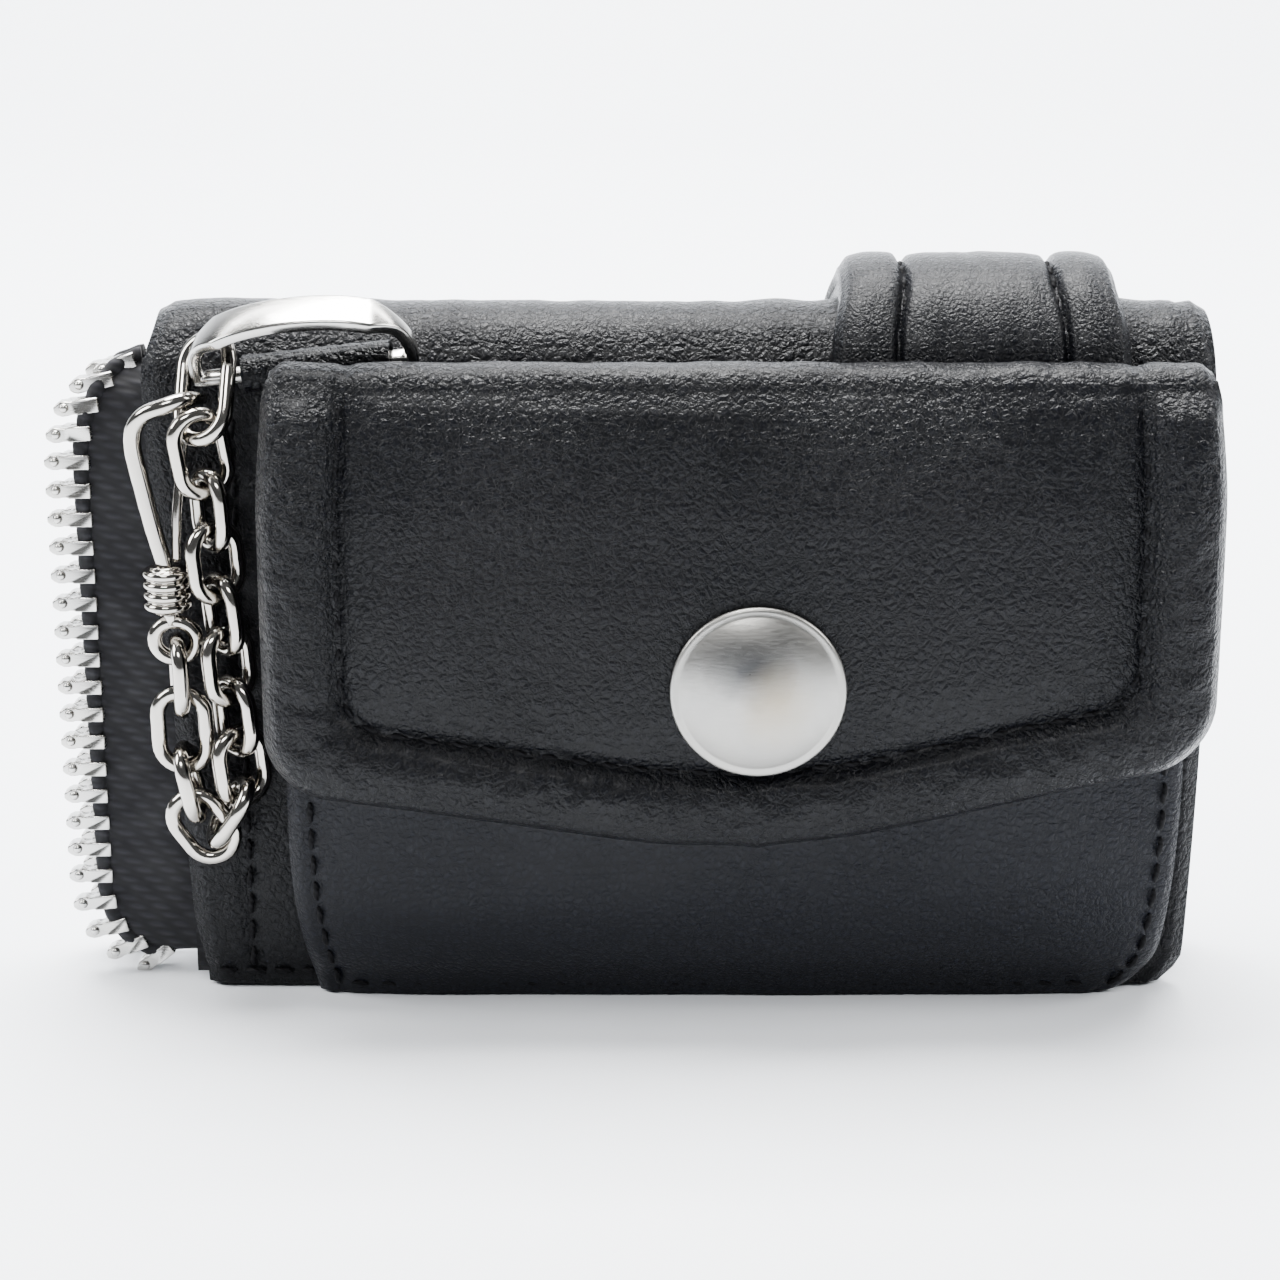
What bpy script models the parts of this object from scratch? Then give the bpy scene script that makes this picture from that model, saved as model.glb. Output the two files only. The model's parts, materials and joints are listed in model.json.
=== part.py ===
"""Chain wallet: a compact zipped leather wallet with a snapped coin pocket and a hanging key chain.

The wallet stands on its long lower edge. X runs to the right, Y to the back and Z up. The origin is
the middle of the main body's underside. Lengths below are in millimetres and become metres in place().
"""

import math

import bmesh
import bpy
from mathutils import Matrix, Vector

MM = 0.001
GAP = 0.3                       # clearance between touching pieces

# Main body: one leather sheet folded over the top
BODY_HALF_WIDTH = 53.0
BODY_HALF_DEPTH = 7.5
BODY_HEIGHT = 72.2
SPINE_Z = BODY_HEIGHT - BODY_HALF_DEPTH
LEATHER = 1.8
LINING = 0.5
INNER_HALF = BODY_HALF_DEPTH - LEATHER - LINING - GAP

# Zip on the left end: the cord line that the teeth clamp
ZIP_X = -61.0
ZIP_TOP_RADIUS = 9.0
ZIP_TOP_Z = 65.0
ZIP_LOW_RADIUS = 6.5
ZIP_LOW_Z = 4.3
ZIP_TAPE_Y = 3.7
TAPE = 0.7
TOOTH_PITCH = 3.0
TOOTH_LENGTH = 3.7
TOOTH_THICKNESS = 1.8

# Coin pocket on the front
POCKET_LEFT, POCKET_RIGHT = -40.2, 50.7
POCKET_FACE_Y = -15.0
POCKET_TOP = 57.0
POCKET_LEATHER = 1.6
POCKET_CORNER = 7.0

# Flap over the coin pocket
FLAP_LEFT, FLAP_RIGHT = -41.5, 52.5
FLAP_FACE_Y = -20.9
FLAP_TIP = (7.5, 19.5)
FLAP_LEFT_Z, FLAP_RIGHT_Z = 26.6, 29.8
FLAP_CORNER = 6.0
FLAP_LEATHER = 1.4
FLAP_AXIS = Vector((0.0, -13.7, 67.0))
FOLD_RADIUS = 1.6

# Snap fastener
SNAP_X, SNAP_Z = 7.25, 37.6
SNAP_CAP_RADIUS = 8.7

# Ring for the chain: a flat band bent to a low arch, leaning forward
RING_CENTRE = Vector((-37.6, -9.6, 67.3))
RING_LEAN = math.radians(30.0)
RING_TILT = math.radians(8.0)
RING_HALF_WIDTH = 10.4
RING_RISE = 5.8
RING_THICKNESS = 1.3
RING_BAND = 4.2
RING_FOOT_BAND = 1.8

# Chain
WIRE = 1.6
LINK_INNER_WIDTH = 3.3
RING_LEG = Vector((-47.2, -7.5, 68.5))
FIRST_LINK_TOP = Vector((-47.02, -8.43, 69.18))
FIRST_LINK_LOW = Vector((-47.45, -12.48, 61.67))
FIRST_LINK_TURN = 27.35
FIRST_LINK_INNER_WIDTH = 3.8
SECOND_LINK_TOP = Vector((-48.03, -12.58, 62.26))
SECOND_LINK_TURN = -27
GATE_FOOT = Vector((-50.7, -11.2, 48.0))
HOOK_REST = Vector((-48.3, -11.5, 64.6))
HOOK_CROWN = [(-53.9, -12.4, 62.0), (-52.6, -12.9, 63.2), (-50.9, -13.3, 64.0), (-49.5, -12.7, 64.6),
              (-48.3, -11.5, 64.6), (-47.4, -10.4, 64.3)]

# Strap over the top
STRAP_LEFT, STRAP_RIGHT = 16.6, 43.1
STRAP_THICKNESS = 3.2
STRAP_FRONT_Z = 67.4
STRAP_END_Z = 38.0
STRAP_SNAP_Z = 47.0
STRAP_SNAP_RADIUS = 6.2
TAIL_THICKNESS = 2.2


# ---------------------------------------------------------------- scene and materials

for old in list(bpy.data.objects):
    bpy.data.objects.remove(old, do_unlink=True)

WALLET = bpy.data.collections.new("chain_wallet")
CUTTERS = bpy.data.collections.new("cutters")
for group in (WALLET, CUTTERS):
    bpy.context.scene.collection.children.link(group)


def material(name, colour, roughness, metallic):
    made = bpy.data.materials.new(name)
    made.use_nodes = True
    shader = made.node_tree.nodes["Principled BSDF"]
    shader.inputs["Base Color"].default_value = (*colour, 1.0)
    shader.inputs["Roughness"].default_value = roughness
    shader.inputs["Metallic"].default_value = metallic
    return made


BLACK_LEATHER = material("black_leather", (0.018, 0.019, 0.024), 0.42, 0.0)
BLACK_LINING = material("black_lining", (0.015, 0.015, 0.017), 0.85, 0.0)
ZIP_CLOTH = material("zip_cloth", (0.012, 0.012, 0.014), 0.9, 0.0)
BRIGHT_NICKEL = material("bright_nickel", (0.62, 0.60, 0.56), 0.14, 1.0)
SATIN_NICKEL = material("satin_nickel", (0.60, 0.59, 0.56), 0.30, 1.0)


def pivot(name, at, parent=None):
    """An empty on a joint's axis."""
    empty = bpy.data.objects.new(name, None)
    WALLET.objects.link(empty)
    base = Vector(parent["world"]) if parent else Vector()
    empty.location = (Vector(at) - base) * MM
    empty.parent = parent
    empty["world"] = list(at)
    return empty


def place(thing, finish, parent=None):
    """Links a piece modelled in the wallet's own millimetres, scaled to metres, to its pivot."""
    if thing.type == "MESH":
        thing.data.transform(Matrix.Scale(MM, 4))
    thing.data.materials.append(finish)
    if thing.name not in WALLET.objects:
        WALLET.objects.link(thing)
    if parent:
        thing.parent = parent
        thing.location = -Vector(parent["world"]) * MM
    return thing


def modifier(thing, kind, **settings):
    added = thing.modifiers.new(kind.lower(), kind)
    for key, value in settings.items():
        setattr(added, key, value)
    return added


# ---------------------------------------------------------------- shape makers

def sheet(name, rows, thickness, finish, parent=None):
    """A sheet of the given thickness behind a grid of points, each row as long as the others.

    The grid's faces point out when the rows run down the outer side and each row runs to the right.
    """
    mesh = bmesh.new()
    grid = [[mesh.verts.new(point) for point in row] for row in rows]
    for upper, lower in zip(grid, grid[1:]):
        for i in range(len(upper) - 1):
            mesh.faces.new((upper[i], lower[i], lower[i + 1], upper[i + 1]))
    data = bpy.data.meshes.new(name)
    mesh.to_mesh(data)
    mesh.free()
    made = place(bpy.data.objects.new(name, data), finish, parent)
    modifier(made, "SOLIDIFY", thickness=thickness * MM, offset=-1.0, use_even_offset=True)
    return made


def straight_rows(profile, left, right):
    """Rows of a sheet that has one (y, z) profile from its left to its right edge."""
    return [[(left, y, z), (right, y, z)] for y, z in profile]


def arc(centre, radius, start, end, count):
    """Points on an arc in a plane, angles in degrees."""
    steps = [math.radians(start + (end - start) * i / count) for i in range(count + 1)]
    return [(centre[0] + radius * math.cos(a), centre[1] + radius * math.sin(a)) for a in steps]


def plate(name, outline, plane, depth, thickness, finish, parent=None):
    """A flat outline as thick as stated. Plane "xz" puts its middle at y = depth, "yz" at x = depth,
    and "xy" at z = depth.
    """
    curve = bpy.data.curves.new(name, "CURVE")
    curve.dimensions = "2D"
    curve.fill_mode = "BOTH"
    curve.extrude = thickness * MM / 2
    spline = curve.splines.new("POLY")
    spline.points.add(len(outline) - 1)
    for point, (a, b) in zip(spline.points, outline):
        point.co = (a * MM, b * MM, 0, 1)
    spline.use_cyclic_u = True
    turns = {
        "xz": Matrix(((1, 0, 0), (0, 0, -1), (0, 1, 0))),
        "yz": Matrix(((0, 0, 1), (1, 0, 0), (0, 1, 0))),
        "xy": Matrix(((1, 0, 0), (0, 1, 0), (0, 0, 1))),
    }
    shifts = {"xz": (0, depth, 0), "yz": (depth, 0, 0), "xy": (0, 0, depth)}
    shape = bpy.data.objects.new(name, curve)
    place(shape, finish, parent)
    shape.rotation_euler = turns[plane].to_euler()
    shape.location = shape.location + Vector(shifts[plane]) * MM
    return shape


def turned(name, profile, centre, finish, parent=None, steps=32, axis="y"):
    """A turned piece. The profile's points are (radius, height), with height along -Y or along Z."""
    mesh = bmesh.new()
    verts = [mesh.verts.new((radius, 0, height)) for radius, height in profile]
    for a, b in zip(verts, verts[1:]):
        mesh.edges.new((a, b))
    if min(radius for radius, height in profile) > 0:
        mesh.edges.new((verts[-1], verts[0]))
    data = bpy.data.meshes.new(name)
    mesh.to_mesh(data)
    mesh.free()
    made = place(bpy.data.objects.new(name, data), finish, parent)
    if axis == "y":
        made.rotation_euler = (math.radians(90.0), 0, 0)
    made.location = made.location + Vector(centre) * MM
    modifier(made, "SCREW", steps=steps, render_steps=steps, use_merge_vertices=True,
             merge_threshold=0.00001)
    return made


def wire(name, points, diameter, finish, parent=None, cyclic=False):
    """A round wire through the given points."""
    curve = bpy.data.curves.new(name, "CURVE")
    curve.dimensions = "3D"
    curve.bevel_depth = diameter * MM / 2
    curve.bevel_resolution = 2
    curve.use_fill_caps = not cyclic
    spline = curve.splines.new("POLY")
    spline.points.add(len(points) - 1)
    for point, where in zip(spline.points, points):
        point.co = (*(Vector(where) * MM), 1)
    spline.use_cyclic_u = cyclic
    return place(bpy.data.objects.new(name, curve), finish, parent)


def drill(thing, centre, radius, length):
    """Cuts a round hole along Y through a piece."""
    mesh = bmesh.new()
    bmesh.ops.create_cone(mesh, cap_ends=True, segments=16, radius1=radius * MM, radius2=radius * MM,
                          depth=length * MM)
    data = bpy.data.meshes.new(thing.name + "_drill")
    mesh.to_mesh(data)
    mesh.free()
    cutter = bpy.data.objects.new(data.name, data)
    cutter.rotation_euler = (math.radians(90.0), 0, 0)
    cutter.location = Vector(centre) * MM
    cutter.hide_render = True
    cutter.display_type = "WIRE"
    CUTTERS.objects.link(cutter)
    modifier(thing, "BOOLEAN", operation="DIFFERENCE", solver="EXACT", object=cutter)


def rectangle(left, right, low, high):
    return [(left, low), (right, low), (right, high), (left, high)]


# ---------------------------------------------------------------- main body

def fold_profile(half_depth, foot):
    """The inverted U of the body, from the back foot over the top to the front foot."""
    over = arc((0, SPINE_Z), half_depth, 0, 180, 16)
    return [(half_depth, foot)] + over + [(-half_depth, foot)]


def make_body():
    shell = fold_profile(BODY_HALF_DEPTH, 0.0)
    sheet("outer_shell", straight_rows(shell, -BODY_HALF_WIDTH, BODY_HALF_WIDTH), LEATHER, BLACK_LEATHER)
    lining = fold_profile(INNER_HALF + LINING, 1.0)
    edge = BODY_HALF_WIDTH - 1.5
    sheet("shell_lining", straight_rows(lining, -edge, edge), LINING, BLACK_LINING)
    strip = rectangle(-48.0, edge, -INNER_HALF + GAP, INNER_HALF - GAP)
    plate("bottom_gusset", strip, "xy", 0.7, 1.4, BLACK_LEATHER)
    make_right_gusset()
    for name, y, top, thickness in (("bill_divider", 2.35, 60.0, 0.7), ("card_panel_tall", 3.3, 50.0, 0.6),
                                    ("card_panel_short", 4.2, 42.0, 0.6)):
        plate(name, rectangle(-46.0, 42.0, 1.8, top), "xz", y, thickness, BLACK_LINING)


def make_right_gusset():
    """The pleated leather that closes the right end: its fold points into the body."""
    reach = INNER_HALF - 0.8
    pleat = [(edge_x, y) for edge_x, y in ((51.0, -reach), (45.0, 0.0), (51.0, reach))]
    inner = [(x - 1.1, y) for x, y in reversed(pleat)]
    plate("right_gusset", pleat + inner, "xy", 32.5, 61.0, BLACK_LEATHER)


# ---------------------------------------------------------------- zip

def zip_path(offset):
    """The cord line as (x, z) points from the top end round to the bottom end, moved out by offset."""
    top = (ZIP_X + ZIP_TOP_RADIUS, ZIP_TOP_Z - ZIP_TOP_RADIUS)
    low = (ZIP_X + ZIP_LOW_RADIUS, ZIP_LOW_Z + ZIP_LOW_RADIUS)
    return (arc(top, ZIP_TOP_RADIUS + offset, 98, 180, 10)
            + arc(low, ZIP_LOW_RADIUS + offset, 180, 270, 9)
            + [(low[0] + 4.0, ZIP_LOW_Z - offset)])


def walk(path, spacing, start):
    """Points and outward directions at equal spacing along a path, from a first distance on."""
    places, wanted, passed = [], start, 0.0
    for a, b in zip(path, path[1:]):
        a, b = Vector(a), Vector(b)
        length = (b - a).length
        along = (b - a).normalized()
        while wanted <= passed + length:
            places.append((a + along * (wanted - passed), along, Vector((along.y, -along.x))))
            wanted += spacing
        passed += length
    return places


def comb(start):
    """The outline of one row of teeth on its cord: a thin spine with teeth on its outer side."""
    outline = []
    half = 0.65
    for where, along, out in walk(zip_path(0.0), TOOTH_PITCH, start):
        for side, reach in ((-half, 1.0), (-half, TOOTH_LENGTH), (half, TOOTH_LENGTH), (half, 1.0)):
            outline.append(tuple(where + along * side + out * reach))
    return outline + [tuple(point) for point in reversed(zip_path(0.1))]


def make_zip():
    for name, side, start in (("front", -1, 1.2), ("back", 1, 1.2 + TOOTH_PITCH / 2)):
        edge = zip_path(-0.3)
        tape = edge + [(-47.0, edge[-1][1]), (-47.0, 60.0), (-53.4, 62.0)]
        plate("zip_tape_" + name, tape, "xz", side * ZIP_TAPE_Y, TAPE, ZIP_CLOTH)
        plate("zip_teeth_" + name, comb(start), "xz", side * ZIP_TAPE_Y, TOOTH_THICKNESS, BRIGHT_NICKEL)

    slider = pivot("slider_pivot", (-57.0, 0, 56.5))
    flange, web = 2.3, 0.6
    section = [(-59.4, -flange), (-58.5, -flange), (-58.5, -web), (-55.7, -web), (-55.7, -flange),
               (-54.8, -flange), (-54.8, flange), (-55.7, flange), (-55.7, web), (-58.5, web),
               (-58.5, flange), (-59.4, flange)]
    plate("zip_slider", section, "xy", 56.5, 9.0, BRIGHT_NICKEL, slider)
    pull_at = Vector((-60.4, 0.0, 57.0))
    pull = pivot("pull_pivot", pull_at, slider)
    tab = [(-1.9, 41.0), (1.9, 41.0), (2.2, 42.5), (1.7, 55.5), (0.9, 57.6), (-0.9, 57.6), (-1.7, 55.5),
           (-2.2, 42.5)]
    plate("zip_pull", tab, "yz", pull_at.x, 1.1, BRIGHT_NICKEL, pull)


# ---------------------------------------------------------------- coin pocket

def pocket_profile():
    return [(POCKET_FACE_Y, POCKET_TOP), (POCKET_FACE_Y, 46), (POCKET_FACE_Y, 33), (-14.7, 22), (-13.6, 12),
            (-11.8, 6), (-10.0, 2.6), (-9.6, 0.0)]


def make_pocket():
    stations = 13
    rows = []
    for y, z in pocket_profile():
        drop = max(POCKET_CORNER - z, 0.0)
        cut = POCKET_CORNER - math.sqrt(POCKET_CORNER ** 2 - drop ** 2)
        right = POCKET_RIGHT - cut
        rows.append([(POCKET_LEFT + (right - POCKET_LEFT) * i / (stations - 1), y, z)
                     for i in range(stations)])
    front = sheet("pocket_front", rows, POCKET_LEATHER, BLACK_LEATHER)
    drill(front, (SNAP_X, POCKET_FACE_Y, SNAP_Z), 1.7, 8.0)
    wall = -BODY_HALF_DEPTH - GAP
    side = [(wall, 5.0), (wall, 56.0), (-13.0, 56.0), (-13.0, 33.0), (-12.7, 22.5), (-11.6, 13.0),
            (-10.0, 7.5), (-9.0, 5.0)]
    for name, x in (("left", POCKET_LEFT + 1.5), ("right", POCKET_RIGHT - 1.5)):
        plate("pocket_gusset_" + name, side, "yz", x, 0.9, BLACK_LEATHER)


# ---------------------------------------------------------------- flap

def flap_edge(x):
    """Height of the flap's lower edge: a shallow point with rounded corners."""
    tip_x, tip_z = FLAP_TIP
    side_x, side_z = (FLAP_LEFT, FLAP_LEFT_Z) if x < tip_x else (FLAP_RIGHT, FLAP_RIGHT_Z)
    low = tip_z + (side_z - tip_z) * (x - tip_x) / (side_x - tip_x)
    inside = FLAP_CORNER - min(x - FLAP_LEFT, FLAP_RIGHT - x)
    return low + FLAP_CORNER - math.sqrt(FLAP_CORNER ** 2 - max(inside, 0.0) ** 2)


def flap_stations():
    """X stations of the flap: close together at the rounded corners and at the point."""
    corner = [FLAP_CORNER * (1 - math.cos(math.radians(15 * i))) for i in range(7)]
    start, end = FLAP_LEFT + FLAP_CORNER, FLAP_RIGHT - FLAP_CORNER
    middle = [start + (FLAP_TIP[0] - start) * i / 4 for i in range(1, 5)]
    middle += [FLAP_TIP[0] + (end - FLAP_TIP[0]) * i / 4 for i in range(1, 4)]
    return [FLAP_LEFT + c for c in corner] + middle + [FLAP_RIGHT - c for c in reversed(corner)]


def flap_rows(depth):
    """Rows of the hanging flap's surface, depth behind its outer face."""
    crown = [(-17.1, 67.0), (-17.9, 65.4), (-19.1, 62.0), (-20.2, 55.0), (FLAP_FACE_Y, 46.0)]
    rows = [[(x, y + depth, z) for x in flap_stations()] for y, z in crown]
    for part in (0.35, 0.7, 1.0):
        row = []
        for x in flap_stations():
            z = 46.0 + (flap_edge(x) - 46.0) * part
            row.append((x, FLAP_FACE_Y + depth, z))
        rows.append(row)
    return rows


def make_flap():
    root = [(-BODY_HALF_DEPTH - GAP, 62.9), (-9.6, 64.2), (-11.5, 66.0)]
    fold = arc((FLAP_AXIS.y, FLAP_AXIS.z), FOLD_RADIUS, 30, 200, 9)
    strip = root + [(y, z) for y, z in fold]
    lower = [(-13.6, 65.3), (-11.8, 64.0), (-9.8, 62.6), (-BODY_HALF_DEPTH - GAP, 61.2)]
    length = FLAP_RIGHT - FLAP_LEFT
    plate("flap_root", strip + lower, "yz", (FLAP_LEFT + FLAP_RIGHT) / 2, length, BLACK_LEATHER)

    hinge = pivot("flap_pivot", FLAP_AXIS)
    leather = sheet("flap_leather", flap_rows(0.0), FLAP_LEATHER, BLACK_LEATHER, hinge)
    lining = sheet("flap_lining", flap_rows(FLAP_LEATHER + GAP)[1:], 0.7, BLACK_LINING, hinge)
    for layer in (leather, lining):
        drill(layer, (SNAP_X, FLAP_FACE_Y, SNAP_Z), 1.8, 12.0)
    cap = [(0.0, 2.3), (3.0, 2.15), (5.6, 1.65), (7.6, 0.95), (8.5, 0.35), (SNAP_CAP_RADIUS, 0.0),
           (8.2, -0.3), (1.4, -0.3), (1.4, -2.7), (0.0, -2.7)]
    turned("snap_cap", cap, (SNAP_X, FLAP_FACE_Y - 0.65, SNAP_Z), SATIN_NICKEL, hinge)
    socket = [(5.9, 1.9), (5.9, 0.3), (5.4, 0.0), (2.6, 0.0), (2.6, 1.7), (1.8, 1.9)]
    turned("snap_socket", socket, (SNAP_X, -16.25, SNAP_Z), SATIN_NICKEL, hinge)


def make_stud():
    stud = [(0.0, 2.1), (1.9, 2.1), (2.2, 1.6), (1.9, 0.9), (1.9, 0.4), (5.2, 0.4), (5.2, 0.0), (1.2, 0.0),
            (1.2, -2.1), (0.0, -2.1)]
    turned("snap_stud", stud, (SNAP_X, POCKET_FACE_Y - GAP, SNAP_Z), SATIN_NICKEL)
    washer = [(4.2, 0.6), (4.2, 0.0), (1.5, 0.0), (1.5, 0.6)]
    turned("snap_washer", washer, (SNAP_X, -12.45, SNAP_Z), SATIN_NICKEL)


# ---------------------------------------------------------------- ring and its tab

def ring_axes():
    """The ring's own directions: along its bar, up its arch and through its plane."""
    across = Vector((1, 0, 0))
    up = Vector((0, -math.sin(RING_LEAN), math.cos(RING_LEAN)))
    along = across * math.cos(RING_TILT) + up * math.sin(RING_TILT)
    rise = up * math.cos(RING_TILT) - across * math.sin(RING_TILT)
    return along, rise, along.cross(rise)


def make_ring(parent):
    """A closed band: a straight bar below and a low arch above, wider over the arch than at the bar."""
    along, rise, through = ring_axes()
    half = RING_HALF_WIDTH
    arch = [(half * math.cos(math.radians(a)), RING_RISE * math.sin(math.radians(a)) ** 0.6)
            for a in range(0, 181, 12)]
    bar = [(-half + 2 * half * i / 6, 0.0) for i in range(1, 6)]
    line = [Vector((u, v)) for u, v in [(u, max(v, 0.0)) for u, v in arch] + bar]
    mesh = bmesh.new()
    loops = []
    for i, here in enumerate(line):
        tangent = (line[(i + 1) % len(line)] - line[i - 1]).normalized()
        out = Vector((tangent.y, -tangent.x))
        share = min(max((here.y - 2.5) / 2.5, 0.0), 1.0) ** 2
        band = (RING_FOOT_BAND + (RING_BAND - RING_FOOT_BAND) * share) / 2
        corners = []
        for side, depth in ((0.5, -band), (0.5, band), (-0.5, band), (-0.5, -band)):
            flat = here + out * side * RING_THICKNESS
            corners.append(mesh.verts.new(RING_CENTRE + along * flat.x + rise * flat.y + through * depth))
        loops.append(corners)
    for i, first in enumerate(loops):
        second = loops[(i + 1) % len(loops)]
        for j in range(4):
            k = (j + 1) % 4
            mesh.faces.new((first[j], first[k], second[k], second[j]))
    bmesh.ops.recalc_face_normals(mesh, faces=mesh.faces)
    data = bpy.data.meshes.new("d_ring")
    mesh.to_mesh(data)
    mesh.free()
    place(bpy.data.objects.new("d_ring", data), SATIN_NICKEL, parent)


def make_ring_tab():
    """The leather loop that holds the ring's bar, open below so that it closes on itself nowhere."""
    along, rise, through = ring_axes()
    outer = arc((0, 0), 2.0, -60, 240, 14)
    inner = arc((0, 0), 1.45, 240, -60, 14)
    mesh = bmesh.new()
    ends = []
    for reach in (-3.4, 6.0):
        ends.append([mesh.verts.new(RING_CENTRE + along * reach + through * a + rise * b)
                     for a, b in outer + inner])
    count = len(ends[0])
    for i in range(count):
        k = (i + 1) % count
        mesh.faces.new((ends[0][i], ends[0][k], ends[1][k], ends[1][i]))
    for loop in ends:
        for i in range(14):
            mesh.faces.new((loop[i], loop[i + 1], loop[count - 2 - i], loop[count - 1 - i]))
    bmesh.ops.recalc_face_normals(mesh, faces=mesh.faces)
    data = bpy.data.meshes.new("d_ring_tab")
    mesh.to_mesh(data)
    mesh.free()
    place(bpy.data.objects.new("d_ring_tab", data), BLACK_LEATHER)


# ---------------------------------------------------------------- chain

CHAIN_Y = -11.2
# Where each link of the right-hand strand hangs on the one above, from the top down
RIGHT_STRAND = [Vector((-47.3, CHAIN_Y, 55.9)), Vector((-47.0, CHAIN_Y, 50.5)),
                Vector((-46.6, CHAIN_Y, 45.1)), Vector((-46.1, CHAIN_Y, 39.7)),
                Vector((-45.7, CHAIN_Y, 34.3)), Vector((-45.3, CHAIN_Y, 28.9)),
                Vector((-44.8, CHAIN_Y, 23.5))]
RIGHT_TURNS = (52, -38, 50, -46, 45, -37)
# The left-hand strand, from the clasp's eye down
LEFT_STRAND = [Vector((-51.1, CHAIN_Y, 38.7)), Vector((-51.0, CHAIN_Y, 33.2)), Vector((-50.9, CHAIN_Y, 27.1)),
               Vector((-49.85, CHAIN_Y, 21.8))]
LEFT_TURNS = (76, 4, 90)
END_REACH = (WIRE + GAP) / 2    # from a contact point to the middle of the wire


def link(name, top, bottom, turn, parent, inner_width=LINK_INNER_WIDTH):
    """One link between two contact points, its flat side turned about its length by turn degrees.

    A contact point is where the inner ends of two links meet, so each wire lies half outside it.
    """
    down = (bottom - top).normalized()
    across = Vector((1, 0, 0))
    across = (across - down * across.dot(down)).normalized()
    across = Matrix.Rotation(math.radians(turn), 3, down) @ across
    radius = (inner_width + WIRE) / 2
    straight = (bottom - top).length / 2 + END_REACH - radius
    middle = (top + bottom) / 2
    points = []
    for centre, start in ((-straight, 180), (straight, 0)):
        for i in range(7):
            a = math.radians(start + 30 * i)
            points.append(middle + across * radius * math.cos(a) + down * (centre + radius * math.sin(a)))
    return wire(name, points, WIRE, BRIGHT_NICKEL, parent, cyclic=True)


def link_between_wires(name, first, second, turn, parent):
    """A link stated by the middles of its wire at its two ends."""
    down = (second - first).normalized()
    return link(name, first + down * END_REACH, second - down * END_REACH, turn, parent)


def make_chain(ring_pivot):
    """The chain hangs from the ring's left leg, and its loop is closed by the clasp on the first link."""
    top_pivot = pivot("chain_link_00_pivot", RING_LEG, ring_pivot)
    link("chain_link_00", FIRST_LINK_TOP, FIRST_LINK_LOW, FIRST_LINK_TURN, top_pivot, FIRST_LINK_INNER_WIDTH)

    parent = pivot("chain_link_01_pivot", SECOND_LINK_TOP, top_pivot)
    link("chain_link_01", SECOND_LINK_TOP, RIGHT_STRAND[0], SECOND_LINK_TURN, parent)
    for i, turn in enumerate(RIGHT_TURNS):
        name = f"chain_link_{i + 2:02d}"
        parent = pivot(name + "_pivot", RIGHT_STRAND[i], parent)
        link(name, RIGHT_STRAND[i], RIGHT_STRAND[i + 1], turn, parent)

    turn_top, turn_low = Vector((-44.41, -12.0, 24.42)), Vector((-48.33, -10.83, 18.39))
    parent = pivot("chain_link_08_pivot", turn_top, parent)
    link_between_wires("chain_link_08", turn_top, turn_low, 82, parent)
    parent = pivot("chain_link_09_pivot", turn_low, parent)
    middle, slope = Vector((-49.2, -11.4, 19.75)), math.radians(125.0)
    reach = Vector((math.cos(slope), 0, math.sin(slope))) * 3.65
    link_between_wires("chain_link_09", middle - reach, middle + reach, 0, parent)
    make_clasp(top_pivot)


def make_clasp(top_pivot):
    hang = pivot("clasp_pivot", HOOK_REST, top_pivot)
    hook = [(-52.2, CHAIN_Y, 48.4), (-52.9, -11.3, 51.5), (-53.8, -11.5, 56.0), (-54.4, -11.8, 60.0)]
    wire("clasp_hook", hook + HOOK_CROWN, WIRE, BRIGHT_NICKEL, hang)
    profile = [(0.0, 47.4), (1.8, 47.4)]
    for i in range(3, -1, -1):
        low = 42.9 + 1.1 * i
        profile += [(2.0, low + 1.05), (2.4, low + 0.8), (2.4, low + 0.3), (2.0, low + 0.05)]
    profile += [(1.8, 42.8), (0.0, 42.8)]
    turned("clasp_collar", profile, (-51.8, CHAIN_Y, 0), BRIGHT_NICKEL, hang, steps=20, axis="z")

    gate = pivot("clasp_gate_pivot", GATE_FOOT, hang)
    wire("clasp_gate", [GATE_FOOT, (-50.5, -10.9, 53.0), (-50.0, -10.1, 57.5), (-49.6, -9.8, 60.2)],
         1.0, BRIGHT_NICKEL, gate)

    swivel = pivot("clasp_eye_pivot", (-51.2, CHAIN_Y, 41.0), hang)
    eye = [(-51.2 + 2.1 * math.cos(a), CHAIN_Y, 39.7 + 1.95 * math.sin(a))
           for a in (math.radians(20 * i) for i in range(18))]
    wire("clasp_eye", eye, 1.5, BRIGHT_NICKEL, swivel, cyclic=True)

    parent = swivel
    for i, turn in enumerate(LEFT_TURNS):
        name = f"chain_link_{12 - i}"
        parent = pivot(name + "_pivot", LEFT_STRAND[i], parent)
        link(name, LEFT_STRAND[i], LEFT_STRAND[i + 1], turn, parent)


# ---------------------------------------------------------------- strap

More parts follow.
